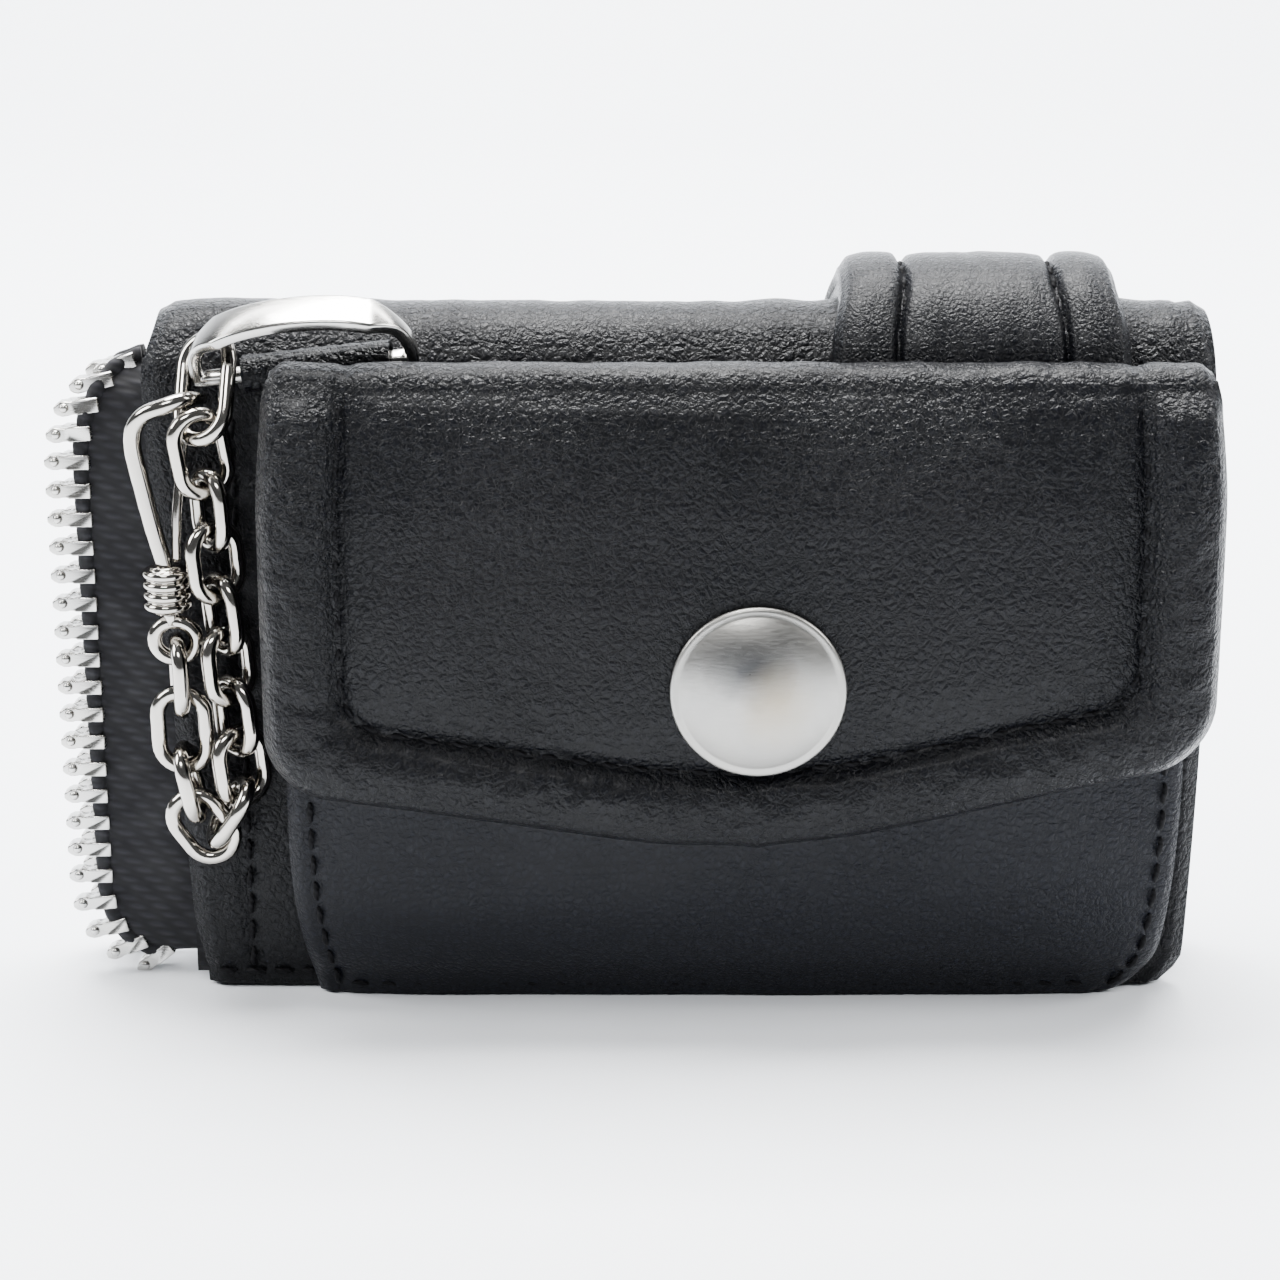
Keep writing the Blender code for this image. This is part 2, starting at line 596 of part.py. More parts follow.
def make_strap():
    """The strap over the top: its front end is sewn under the flap, its tail snaps to the back."""
    inner = BODY_HALF_DEPTH + GAP
    outer = inner + STRAP_THICKNESS
    over = arc((0, SPINE_Z), outer, 0, 180, 16)
    profile = [(y, z) for y, z in over if y > 0 or z > STRAP_FRONT_Z] + [(-outer + GAP, STRAP_FRONT_Z)]
    rows = straight_rows(profile, STRAP_LEFT, STRAP_RIGHT)
    sheet("belt_strap", rows, STRAP_THICKNESS, BLACK_LEATHER)

    hinge_at = Vector(((STRAP_LEFT + STRAP_RIGHT) / 2, inner + STRAP_THICKNESS, SPINE_Z - GAP))
    tail = pivot("strap_pivot", hinge_at)
    middle = hinge_at.x
    half = (STRAP_RIGHT - STRAP_LEFT) / 2
    round_end = arc((middle, STRAP_END_Z + half), half, 180, 360, 12)
    outline = [(STRAP_LEFT, SPINE_Z - 2 * GAP)] + round_end + [(STRAP_RIGHT, SPINE_Z - 2 * GAP)]
    back = inner + GAP + TAIL_THICKNESS / 2
    plate("strap_tail", outline, "xz", back, TAIL_THICKNESS, BLACK_LEATHER, tail)
    button = arc((middle, STRAP_SNAP_Z), STRAP_SNAP_RADIUS, 0, 345, 24)
    plate("strap_snap_cap", button, "xz", back + TAIL_THICKNESS / 2 + 0.8, 1.0, SATIN_NICKEL, tail)


make_body()
make_zip()
make_pocket()
make_flap()
make_stud()
RING_PIVOT = pivot("d_ring_pivot", RING_CENTRE)
make_ring(RING_PIVOT)
make_ring_tab()
make_chain(RING_PIVOT)
make_strap()
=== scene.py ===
"""Looks of the chain wallet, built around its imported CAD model.

Lengths are millimetres in the model's own frame (X right, Y back, Z up, origin under the body) and
become metres when an object is made. Most of the named sizes repeat those of the CAD model.
"""

import json
import math

import bmesh
import bpy
from mathutils import Matrix, Vector, noise


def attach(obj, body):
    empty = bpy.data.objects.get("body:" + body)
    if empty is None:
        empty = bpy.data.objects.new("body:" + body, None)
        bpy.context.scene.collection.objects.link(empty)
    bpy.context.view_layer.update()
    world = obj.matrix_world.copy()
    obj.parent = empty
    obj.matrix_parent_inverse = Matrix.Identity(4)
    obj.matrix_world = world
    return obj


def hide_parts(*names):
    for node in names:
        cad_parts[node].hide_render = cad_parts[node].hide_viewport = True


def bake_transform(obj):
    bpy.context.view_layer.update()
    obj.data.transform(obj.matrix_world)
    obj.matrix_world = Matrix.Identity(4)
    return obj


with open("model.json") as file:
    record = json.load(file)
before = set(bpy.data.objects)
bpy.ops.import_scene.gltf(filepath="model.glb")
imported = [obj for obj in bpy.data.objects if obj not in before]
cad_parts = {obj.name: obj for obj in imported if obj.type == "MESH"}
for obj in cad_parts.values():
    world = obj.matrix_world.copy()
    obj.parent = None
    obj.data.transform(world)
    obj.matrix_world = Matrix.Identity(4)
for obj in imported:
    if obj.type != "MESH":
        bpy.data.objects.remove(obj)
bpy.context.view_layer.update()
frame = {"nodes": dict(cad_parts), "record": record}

MM = 0.001

# Body
HALF_WIDTH = 53.0
HALF_DEPTH = 7.5
SPINE_Z = 64.7
LEATHER = 1.8
FOOT_SEAM_Z = 1.9
LEFT_SEAM_X = -45.2
RIGHT_SEAM_INSET = 2.6
ON_LEATHER = 0.05               # how far a line of stitches lies off a flat face

# Stitches
STITCH_PITCH, STITCH_SHARE = 3.0, 0.72
THREAD_RADIUS = 0.30

# Zip
ZIP_X, ZIP_TOP_Z, ZIP_LOW_Z = -61.0, 66.6, 2.2
ZIP_TOP_RADIUS, ZIP_LOW_RADIUS = 10.6, 8.6
ZIP_TAPE_Y = 3.7
ZIP_BEND = 6.2
TOOTH_PITCH = 3.0
TEETH_START_FRONT, TEETH_START_BACK = 1.5, 3.0

# Coin pocket and flap
POCKET_LEFT, POCKET_RIGHT = -40.2, 50.7
POCKET_CORNER = 7.0
POCKET_SEAM_LEFT, POCKET_SEAM_RIGHT = 2.4, 1.9
FLAP_LEFT, FLAP_RIGHT = -41.5, 52.5
FLAP_TIP = (7.5, 19.5)
FLAP_LEFT_Z, FLAP_RIGHT_Z = 26.6, 29.8
FLAP_CORNER = 6.0
FLAP_SLOPE = 0.97               # cosine of the lower edge's slope
FLAP_FACE_Y = -20.9
FOLD_END_Y, FOLD_END_Z = -17.4, 67.2
SEAM_INSET, SEAM_CORNER = 7.6, 4.0
SNAP_X, SNAP_Z = 7.25, 37.6
SNAP_TOP_Y = -23.3

# Ring, chain and clasp
RING_CENTRE = Vector((-37.3, -9.6, 67.3))
RING_LEAN, RING_TILT = math.radians(30.0), math.radians(8.0)
RING_HALF_WIDTH, RING_RISE = 10.8, 6.9
RING_THICKNESS, RING_BAND, RING_FOOT_BAND = 1.3, 4.2, 1.5
WIRE = 1.6
CHAIN_Y = -11.2
COLLAR_X, EYE_X, EYE_Z = -51.8, -51.2, 39.7

# Strap
STRAP_LEFT, STRAP_RIGHT = 15.8, 43.1
STRAP_THICKNESS = 3.2
STRAP_END_Z = 38.0
STRAP_SEAM_INSET = 6.2
STRAP_GAP = 0.3


# ---------------------------------------------------------------- materials

class Nodes:
    """Short ways to add shader nodes to one material."""

    def __init__(self, name):
        self.material = bpy.data.materials.new(name)
        self.material.use_nodes = True
        self.tree = self.material.node_tree
        self.shader = self.tree.nodes["Principled BSDF"]
        self.place = self.tree.nodes.new("ShaderNodeTexCoord").outputs["Object"]

    def add(self, kind, **values):
        node = self.tree.nodes.new("ShaderNode" + kind)
        for key, value in values.items():
            if hasattr(value, "is_output"):
                self.tree.links.new(value, node.inputs[key])
            elif key in node.inputs:
                node.inputs[key].default_value = value
            else:
                setattr(node, key, value)
        return node

    def link(self, output, socket):
        self.tree.links.new(output, self.shader.inputs[socket])

    def set(self, **values):
        for key, value in values.items():
            self.shader.inputs[key.replace("_", " ")].default_value = value

    def noise(self, scale, detail=3.0, rough=0.5, vector=None):
        node = self.add("TexNoise", Vector=vector or self.place, Scale=scale, Detail=detail, Roughness=rough)
        return node.outputs["Fac"]

    def cells(self, scale, vector):
        node = self.add("TexVoronoi", feature="DISTANCE_TO_EDGE", Vector=vector, Scale=scale)
        return node.outputs["Distance"]

    def span(self, value, low, high, to_low=0.0, to_high=1.0):
        node = self.add("MapRange", Value=value)
        for key, amount in (("From Min", low), ("From Max", high), ("To Min", to_low), ("To Max", to_high)):
            node.inputs[key].default_value = amount
        return node.outputs["Result"]

    def math(self, operation, first, second):
        node = self.add("Math", operation=operation)
        for i, value in enumerate((first, second)):
            if hasattr(value, "is_output"):
                self.tree.links.new(value, node.inputs[i])
            else:
                node.inputs[i].default_value = value
        return node.outputs[0]

    def colours(self, value, *stops):
        ramp = self.add("ValToRGB", Fac=value)
        for i, (at, colour) in enumerate(stops):
            element = ramp.color_ramp.elements[i] if i < 2 else ramp.color_ramp.elements.new(at)
            element.position = at
            element.color = (*colour, 1.0)
        return ramp.outputs["Color"]

    def bump(self, height, distance, strength=1.0, below=None):
        node = self.add("Bump", Height=height, Distance=distance, Strength=strength)
        if below:
            self.tree.links.new(below, node.inputs["Normal"])
        self.link(node.outputs["Normal"], "Normal")
        return node.outputs["Normal"]

    def near(self, centre, radius):
        """1 close to a point given in millimetres, fading unevenly to 0 round it."""
        node = self.add("VectorMath", operation="DISTANCE")
        self.tree.links.new(self.place, node.inputs[0])
        node.inputs[1].default_value = [c * MM for c in centre]
        uneven = self.math("MULTIPLY", self.noise(260.0), 0.8 * radius * MM)
        return self.span(self.math("ADD", node.outputs["Value"], uneven), 0.5 * radius * MM,
                         1.4 * radius * MM, 1.0, 0.0)

    def mixed(self, share, first, second):
        """A colour output turned partly into a fixed colour."""
        node = self.add("Mix", data_type="RGBA")
        self.tree.links.new(share, node.inputs[0])
        self.tree.links.new(first, node.inputs[6])
        node.inputs[7].default_value = (*second, 1.0)
        return node.outputs[2]


TARNISH = (0.62, 0.58, 0.5)


def leather(name, grain, depth, dark, light, rough=(0.34, 0.56), crease=0.00012, lean=0.35):
    """Black leather: rounded grain cells cut by fine creases, deeper in some places than in others.

    Grain is the number of cells in a metre, depth and crease are metres, lean is the creases' slant.
    """
    n = Nodes(name)
    warp = n.add("VectorMath", operation="MULTIPLY_ADD")
    n.tree.links.new(n.add("TexNoise", Vector=n.place, Scale=grain * 0.5, Detail=3.0).outputs["Color"],
                     warp.inputs[0])
    warp.inputs[1].default_value = (0.9 / grain,) * 3
    n.tree.links.new(n.place, warp.inputs[2])
    cells = n.span(n.cells(grain, warp.outputs[0]), 0.0, 0.3)
    fine = n.span(n.cells(grain * 2.3, warp.outputs[0]), 0.0, 0.25)
    drawn = n.add("Mapping", vector_type="TEXTURE", Vector=n.place, Scale=(1.0, 3.4, 3.4),
                  Rotation=(0.0, lean, 0.0))
    folds = n.noise(grain * 1.1, 4.0, 0.6, vector=drawn.outputs[0])
    where = n.span(n.noise(38.0, 2.0), 0.35, 0.65, 0.4, 1.0)
    grainy = n.math("MULTIPLY", n.math("ADD", n.math("MULTIPLY", cells, 0.7), n.math("MULTIPLY", fine, 0.3)),
                    where)
    height = n.math("ADD", grainy, n.math("MULTIPLY", folds, 0.9))
    wear = n.noise(16.0, 3.0)
    # Base colour: partly painted shade, darker at the grain cells' edges in the grooves between them, and
    # partly random wear tone.
    shade = n.math("ADD", n.math("MULTIPLY", cells, 0.35), n.math("MULTIPLY", wear, 0.65))
    n.link(n.colours(shade, (0.2, dark), (0.8, light)), "Base Color")
    gloss = n.math("ADD", n.math("MULTIPLY", cells, 0.4), n.math("MULTIPLY", wear, 0.6))
    n.link(n.span(gloss, 0.15, 0.85, rough[1], rough[0]), "Roughness")
    low = n.bump(n.noise(120.0, 4.0, 0.6), crease * 2, 0.6)
    n.bump(height, depth, 1.0, below=low)
    n.set(Specular_IOR_Level=0.12, Coat_Weight=0.035, Coat_Roughness=0.22)
    return n.material


def cloth(name, dark, light, threads=1500.0):
    """Tightly woven tape or lining with a diagonal twill."""
    n = Nodes(name)
    weave = n.add("TexWave", wave_type="BANDS", bands_direction="DIAGONAL", Vector=n.place,
                  Scale=threads / 6.0, Distortion=0.6, Detail=1.0)
    cross = n.add("TexWave", wave_type="BANDS", bands_direction="Z", Vector=n.place,
                  Scale=threads / 5.0, Distortion=0.4, Detail=1.0)
    height = n.math("MULTIPLY", weave.outputs["Fac"], cross.outputs["Fac"])
    shade = n.math("ADD", height, n.math("MULTIPLY", n.noise(40.0), 0.5))
    n.link(n.colours(shade, (0.1, dark), (0.9, light)), "Base Color")
    n.link(n.span(n.noise(300.0), 0.3, 0.7, 0.75, 0.95), "Roughness")
    n.bump(height, 0.00012, 0.9)
    n.set(Sheen_Weight=0.04, Sheen_Roughness=0.5, Specular_IOR_Level=0.3)
    return n.material


def nickel(name, colour, rough, scratch, patch=0.25, tarnish_and_reflection_spots=()):
    """Plated metal: fine scratches, a little uneven gloss, faint warm tarnish and any given spots, such as a
    painted dark reflection.
    """
    n = Nodes(name)
    stretched = n.add("Mapping", Vector=n.place, Scale=(1.0, 1.0, 6.0))
    lines = n.noise(900.0, 4.0, 0.6, vector=stretched.outputs[0])
    cloud = n.noise(70.0, 4.0, 0.6)
    worn = tuple(c * (1 - patch) + t * patch for c, t in zip(colour, TARNISH))
    base = n.colours(n.span(cloud, 0.35, 0.75), (0.0, colour), (1.0, worn))
    for centre, radius, strength, tint in tarnish_and_reflection_spots:
        base = n.mixed(n.math("MULTIPLY", n.near(centre, radius), strength), base, tint)
    n.link(base, "Base Color")
    n.link(n.span(n.math("ADD", n.math("MULTIPLY", lines, 0.6), n.math("MULTIPLY", cloud, 0.4)), 0.3, 0.7,
                  rough * 0.75, rough * 1.3), "Roughness")
    n.bump(lines, scratch, 0.35)
    n.set(Metallic=1.0)
    return n.material


def thread():
    """Waxed black thread with its twist."""
    n = Nodes("thread")
    twist = n.add("TexWave", wave_type="BANDS", bands_direction="DIAGONAL", Vector=n.place, Scale=700.0,
                  Distortion=0.3)
    n.link(n.colours(twist.outputs["Fac"], (0.0, (0.0006, 0.0006, 0.0009)), (1.0, (0.003, 0.003, 0.004))),
           "Base Color")
    n.link(n.span(n.noise(500.0), 0.3, 0.7, 0.6, 0.8), "Roughness")
    n.bump(twist.outputs["Fac"], 0.00008, 0.8)
    n.set(Specular_IOR_Level=0.12)
    return n.material


def paper():
    """The white surface under and behind the wallet."""
    n = Nodes("surface")
    n.link(n.colours(n.noise(6.0), (0.3, (0.84, 0.865, 0.905)), (0.7, (0.86, 0.885, 0.92))), "Base Color")
    n.link(n.span(n.noise(90.0), 0.3, 0.7, 0.55, 0.7), "Roughness")
    n.bump(n.noise(700.0), 0.00003, 0.3)
    return n.material


PEBBLED = leather("pebbled_leather", 1050.0, 0.00022, (0.0008, 0.0009, 0.0013), (0.003, 0.0033, 0.0048),
                  rough=(0.25, 0.42))
SMOOTHER = leather("smoother_leather", 1200.0, 0.00013, (0.0013, 0.0015, 0.0026), (0.0042, 0.005, 0.0082),
                   rough=(0.30, 0.46))
STRAP_LEATHER = leather("strap_leather", 1600.0, 0.0001, (0.0008, 0.0009, 0.0013), (0.003, 0.0033, 0.0048),
                        rough=(0.24, 0.38), crease=0.00007, lean=0.1)
EDGE_LEATHER = leather("inner_leather", 1100.0, 0.0001, (0.002, 0.002, 0.003), (0.006, 0.006, 0.008),
                       rough=(0.5, 0.7))
TAPE_CLOTH = cloth("tape_cloth", (0.0015, 0.0015, 0.002), (0.009, 0.009, 0.0115))
LINING_CLOTH = cloth("lining_cloth", (0.002, 0.002, 0.0025), (0.008, 0.008, 0.01), threads=2100.0)
SATIN = nickel("satin_nickel", (0.36, 0.353, 0.338), 0.25, 0.00002, patch=0.4)
RING_METAL = nickel("ring_nickel", (0.42, 0.415, 0.40), 0.19, 0.00003)
# The cap's spots: a painted dark reflection above its centre, and a warm tarnish stain below and right of it.
CAP_METAL = nickel("cap_nickel", (0.29, 0.287, 0.275), 0.36, 0.00003, patch=0.25, tarnish_and_reflection_spots=(
    ((SNAP_X - 0.8, SNAP_TOP_Y, SNAP_Z + 2.7), 4.4, 0.85, (0.04, 0.042, 0.047)),
    ((SNAP_X + 1.6, SNAP_TOP_Y, SNAP_Z - 1.0), 4.6, 0.55, (0.27, 0.22, 0.14))))
BRIGHT = nickel("bright_nickel", (0.42, 0.40, 0.37), 0.12, 0.00001)
TEETH_METAL = nickel("teeth_nickel", (0.47, 0.465, 0.45), 0.24, 0.00003)
THREAD = thread()


# ---------------------------------------------------------------- makers

def finish_piece(thing, finish, body, replaces=()):
    """Give a piece its material, tie it to its body and hide the CAD nodes it stands for."""
    thing.data.materials.append(finish)
    if body:
        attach(thing, body)
    if replaces:
        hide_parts(*replaces)
    return thing


def spread(low, high, count):
    """Numbers at equal steps from low to high."""
    return [low + (high - low) * i / (count - 1) for i in range(count)]


def at_angle(degrees):
    """Cosine and sine of an angle in degrees."""
    return math.cos(math.radians(degrees)), math.sin(math.radians(degrees))


def mesh_object(name, points, faces):
    """A smooth-shaded mesh object from millimetre points."""
    mesh = bpy.data.meshes.new(name)
    mesh.from_pydata([[c * MM for c in point] for point in points], [], faces)
    mesh.shade_smooth()
    thing = bpy.data.objects.new(name, mesh)
    bpy.context.scene.collection.objects.link(thing)
    return thing


def modifier(thing, kind, **settings):
    added = thing.modifiers.new(kind.lower(), kind)
    for key, value in settings.items():
        setattr(added, key, value)
    return added


def skin(name, grid, thickness, rounding=0.35):
    """A sheet over rows of points, made solid inwards and with its edges rounded."""
    width = len(grid[0])
    faces = []
    for r in range(len(grid) - 1):
        for c in range(width - 1):
            here = r * width + c
            faces.append((here, here + width, here + width + 1, here + 1))
    thing = mesh_object(name, [point for row in grid for point in row], faces)
    modifier(thing, "SOLIDIFY", thickness=thickness * MM, offset=-1.0)
    if rounding:
        modifier(thing, "BEVEL", width=rounding * MM, segments=3, limit_method="ANGLE",
                 angle_limit=math.radians(50.0))
    return thing


def face_outwards(thing, merge=False):
    """Turn every face outwards, after merging points that coincide if asked."""
    mesh = bmesh.new()
    mesh.from_mesh(thing.data)
    if merge:
        bmesh.ops.remove_doubles(mesh, verts=mesh.verts, dist=1e-6)
        bmesh.ops.dissolve_degenerate(mesh, edges=mesh.edges, dist=1e-7)
    bmesh.ops.recalc_face_normals(mesh, faces=mesh.faces)
    mesh.to_mesh(thing.data)
    mesh.free()


def loft(name, loops, closed=False):
    """A tube through closed loops of points, capped at its ends unless it closes on itself."""
    size = len(loops[0])
    faces = []
    last = len(loops) if closed else len(loops) - 1
    for i in range(last):
        a, b = i * size, (i + 1) % len(loops) * size
        for j in range(size):
            k = (j + 1) % size
            faces.append((a + j, a + k, b + k, b + j))
    if not closed:
        faces.append(tuple(range(size - 1, -1, -1)))
        faces.append(tuple(range((len(loops) - 1) * size, len(loops) * size)))
    thing = mesh_object(name, [point for loop in loops for point in loop], faces)
    face_outwards(thing)
    return thing


def smooth_line(points, steps=8, closed=False):
    """Points along a rounded line through the given ones."""
    points = [Vector(p) for p in points]
    count = len(points)
    line = []
    for i in range(count if closed else count - 1):
        if closed:
            a, b, c, d = (points[(i + k) % count] for k in (-1, 0, 1, 2))
        else:
            a, b, c, d = (points[min(max(i + k, 0), count - 1)] for k in (-1, 0, 1, 2))
        for step in range(steps):
            t = step / steps
            line.append(0.5 * ((2 * b) + (c - a) * t + (2 * a - 5 * b + 4 * c - d) * t * t
                               + (3 * b - a - 3 * c + d) * t ** 3))
    if not closed:
        line.append(points[-1])
    return line


def tube(name, line, radius, closed=False, sides=20):
    """A round tube along a line; radius may be one number or one for each point."""
    count = len(line)
    radii = radius if isinstance(radius, list) else [radius] * count
    loops = []
    before = None
    for i, here in enumerate(line):
        ahead = line[(i + 1) % count] if closed or i < count - 1 else here
        behind = line[i - 1] if closed or i else here
        tangent = (ahead - behind).normalized()
        if before is None:
            side = tangent.orthogonal().normalized()
        else:
            side = (before - tangent * before.dot(tangent)).normalized()
        before = side
        up = tangent.cross(side)
        loops.append([here + (side * math.cos(a) + up * math.sin(a)) * radii[i]
                      for a in (2 * math.pi * j / sides for j in range(sides))])
    if closed:
        return loft(name, untwisted(loops), closed=True)
    return loft(name, loops)


def untwisted(loops):
    """Turn each loop a little so that the last one meets the first without a twist."""
    size = len(loops[0])
    first, last = loops[0], loops[-1]
    gaps = [(sum((first[j] - last[(j + k) % size]).length for j in range(size)), k) for k in range(size)]
    shift = min(gaps)[1]
    if shift > size / 2:
        shift -= size
    turned = []
    for i, loop in enumerate(loops):
        centre = sum(loop, Vector()) / size
        normal = (loop[0] - centre).cross(loop[size // 4] - centre).normalized()
        turn = Matrix.Rotation(2 * math.pi * shift / size * i / len(loops), 3, normal)
        turned.append([centre + turn @ (point - centre) for point in loop])
    return turned


def lathe(name, profile, centre, axis, steps=64):
    """A turned piece: (radius, height) pairs round an axis through centre."""
    axis = Vector(axis).normalized()
    side = axis.orthogonal().normalized()
    across = axis.cross(side)
    loops = []
    for i in range(steps):
        a = 2 * math.pi * i / steps
        out = side * math.cos(a) + across * math.sin(a)
        loops.append([Vector(centre) + out * r + axis * h for r, h in profile])
    thing = loft(name, loops, closed=True)
    face_outwards(thing, merge=True)
    thing.data.shade_smooth()
    return thing


def walk(line, spacing, start):
    """Points and directions at equal spacing along a line, from a first distance on."""
    places, wanted, passed = [], start, 0.0
    for a, b in zip(line, line[1:]):
        length = (b - a).length
        along = (b - a).normalized()
        while wanted <= passed + length:
            places.append((a + along * (wanted - passed), along))
            wanted += spacing
        passed += length
    return places


def add_solid(points, faces, loops):
    """Append a closed solid through loops of points to a growing mesh."""
    base, size = len(points), len(loops[0])
    for loop in loops:
        points.extend(loop)
    for i in range(len(loops) - 1):
        for j in range(size):
            k = (j + 1) % size
            a = base + i * size
            faces.append((a + j, a + k, a + size + k, a + size + j))
    faces.append(tuple(base + j for j in range(size - 1, -1, -1)))
    faces.append(tuple(base + (len(loops) - 1) * size + j for j in range(size)))


def stitches(name, line, outward, pitch=STITCH_PITCH, body="case"):
    """Thread along a line: one raised stitch, dipping into its hole at both ends, for each pitch.

    Outward is a direction, or a function that gives it for a point.
    """
    places = [where for where, along in walk([Vector(point) for point in line], pitch, 0.0)]
    points, faces, sides = [], [], 8
    for first, second in zip(places, places[1:]):
        out = Vector(outward(first) if callable(outward) else outward).normalized()
        along = (second - first).normalized()
        across = along.cross(out).normalized()
        up = across.cross(along).normalized()
        middle = (first + second) / 2
        half = (second - first).length * STITCH_SHARE / 2
        loops = []
        for t in spread(-1.0, 1.0, 9):
            rise = (THREAD_RADIUS + 0.04) * math.cos(t * math.pi / 2) - THREAD_RADIUS
            thin = THREAD_RADIUS * (1 - 0.55 * abs(t) ** 3)
            centre = middle + along * half * t + up * rise + across * 0.06 * math.sin(t * 3)
            loops.append([centre + across * math.cos(a) * thin + up * math.sin(a) * thin
                          for a in (2 * math.pi * j / sides for j in range(sides))])
        add_solid(points, faces, loops)
    return finish_piece(mesh_object(name, points, faces), THREAD, body)


def ripple(x, y, z, size, seed=0.0):
    """Smooth noise between about -1 and 1 with waves of the given size in millimetres."""
    return noise.noise(Vector((x / size + seed, y / size - seed, z / size + 3.1 * seed)))


def ease(value, low, high):
    """0 below low, 1 above high and smooth between them."""
    t = min(max((value - low) / (high - low), 0.0), 1.0)
    return t * t * (3 - 2 * t)


def groove(distance, width=0.9, depth=0.45):
    """How far a sewn seam pulls the leather in, at a distance from its line."""
    return -depth * math.exp(-(distance / width) ** 2)


# ---------------------------------------------------------------- body

def shell_right(z):
    """The body's right edge, bulging a little and rounded at the foot."""
    bulge = 0.9 * math.sin(math.pi * min(max(z / 72.0, 0.0), 1.0)) ** 0.8
    cut = 4.0 - math.sqrt(16.0 - max(4.0 - z, 0.0) ** 2)
    return HALF_WIDTH + bulge - cut


def shell_left(z):
    """The body's left edge beside the zip, leaning out towards the top."""
    return -54.2 + 2.6 * max(62.0 - z, 0.0) / 50.0 + 0.9 * (1 - ease(z, 0.0, 9.0)) + 1.2 * ease(z, 66.0, 72.2)


def make_shell():
    """The leather of both faces in one sheet over the spine, drawn in along its seams."""
    profile = [(HALF_DEPTH, z) for z in spread(0.4, SPINE_Z, 46)]
    profile += [(HALF_DEPTH * c, SPINE_Z + HALF_DEPTH * s) for c, s in map(at_angle, spread(6, 174, 29))]
    profile += [(-HALF_DEPTH, z) for z in spread(SPINE_Z, 0.4, 46)]
    grid = []
    for y, z in profile:
        over = max(z - SPINE_Z, 0.0)
        normal = Vector((0, y, over)).normalized() if over else Vector((0, 1 if y > 0 else -1, 0))
        row = []
        for t in spread(0.0, 1.0, 150):
            x = shell_left(z) + (shell_right(z) - shell_left(z)) * t
            edge = min(x - shell_left(z), shell_right(z) - x)
            lift = groove(x - LEFT_SEAM_X) * ease(z, 0.0, 4.0) * (1 - ease(z, 60.0, 66.0))
            lift += groove(z - FOOT_SEAM_Z) * (1 if z < 8 else 0)
            lift += groove(shell_right(z) - x - RIGHT_SEAM_INSET, 0.7, 0.35)
            lift -= 0.9 * (1 - ease(edge, 0.0, 2.2)) ** 2
            crumple = ease(z, 54.0, 66.0)
            lift += 0.28 * crumple * ripple(x * 1.6, y * 0.4, z * 0.5, 6.0)
            lift += 0.5 * ripple(x, y, z, 24.0, 1.7) * ease(edge, 0.0, 8.0)
            pressed = math.exp(-((x + 47.2) / 3.5) ** 2) * ease(-y, 2.0, 6.0) * ease(z, 52.0, 60.0)
            lift -= pressed * (max(lift, 0.0) + 0.35)
            point = Vector((x, y, z)) + normal * lift
            row.append((point.x, point.y, point.z))
        grid.append(row)
    shell = skin("leather_body", grid, LEATHER)
    finish_piece(shell, PEBBLED, "case", ("outer_shell",))
    seams = {
        "foot": [(x, FOOT_SEAM_Z) for x in spread(-49.5, 50.5, 60)],
        "left": [(LEFT_SEAM_X, z) for z in spread(2.0, 62.0, 40)],
        "right": [(shell_right(z) - RIGHT_SEAM_INSET, z) for z in spread(5.0, 63.0, 40)],
    }
    for name, seam in seams.items():
        for face, side in (("front", -1), ("back", 1)):
            title = f"{face}_{name}" if name == "foot" else f"{name}_{face}"
            stitches("stitches_" + title, [(x, side * (HALF_DEPTH + ON_LEATHER), z) for x, z in seam],
                     (0, side, 0))


def make_right_end():
    """The pleated leather that closes the body's right end, up to the inside of the fold."""
    reach = HALF_DEPTH - LEATHER - 0.9
    grid = []
    for z in spread(1.6, SPINE_Z + reach - 0.3, 60):
        over = max(z - SPINE_Z, 0.0)
        half = math.sqrt(reach ** 2 - over ** 2)
        row = []
        for t in spread(-1.0, 1.0, 25):
            depth = 6.2 * (1 - abs(t)) ** 0.8 * (1 - 0.5 * ease(z, 55.0, 69.0))
            row.append((51.2 - depth + 0.15 * ripple(0.0, t * 4.0, z, 7.0, 3.3), half * t, z))
        grid.append(row)
    end = skin("right_end_leather", grid, 0.9, rounding=0.1)
    finish_piece(end, EDGE_LEATHER, "case", ("right_gusset",))


# ---------------------------------------------------------------- zip

def zip_line(y, offset=0.0):
    """The cord line from the top end round to the bottom end, leaning to the middle at both ends."""
    line = []
    low = ZIP_LOW_Z + ZIP_LOW_RADIUS
    for c, s in map(at_angle, spread(90, 6, 15)):
        line.append(Vector((ZIP_X + ZIP_BEND * (1 - c) - offset * c, y * (1 - 0.8 * s ** 4),
                            ZIP_TOP_Z - ZIP_TOP_RADIUS + (ZIP_TOP_RADIUS + offset) * s)))
    line += [Vector((ZIP_X - offset, y, z)) for z in spread(ZIP_TOP_Z - ZIP_TOP_RADIUS, low, 24)]
    for c, s in map(at_angle, spread(6, 90, 13)):
        line.append(Vector((ZIP_X + ZIP_BEND * (1 - c) - offset * c, y * (1 - 0.4 * s ** 4),
                            low - (ZIP_LOW_RADIUS + offset) * s)))
    return line


def tooth_loops(facing):
    """Closed outlines of one tooth from its back to its front, as (out, along, depth) points."""
    half = [(-0.8, 0.66), (-0.72, 0.78), (1.45, 0.78), (1.62, 0.68), (2.1, 0.66), (2.5, 0.76), (3.1, 0.76),
            (3.55, 0.55), (3.85, 0.25)]
    outline = half + [(u, -v) for u, v in reversed(half)]
    loops = []
    for depth, shrink in ((-1.0, 0.13), (-0.87, 0.0), (0.87, 0.0), (1.0, 0.13)):
        loops.append([(u - shrink * (1 if u > 1.5 else -1), v * (1 - shrink), facing * depth * (
            0.98 if u < 1.5 else 0.86)) for u, v in outline])
    return loops


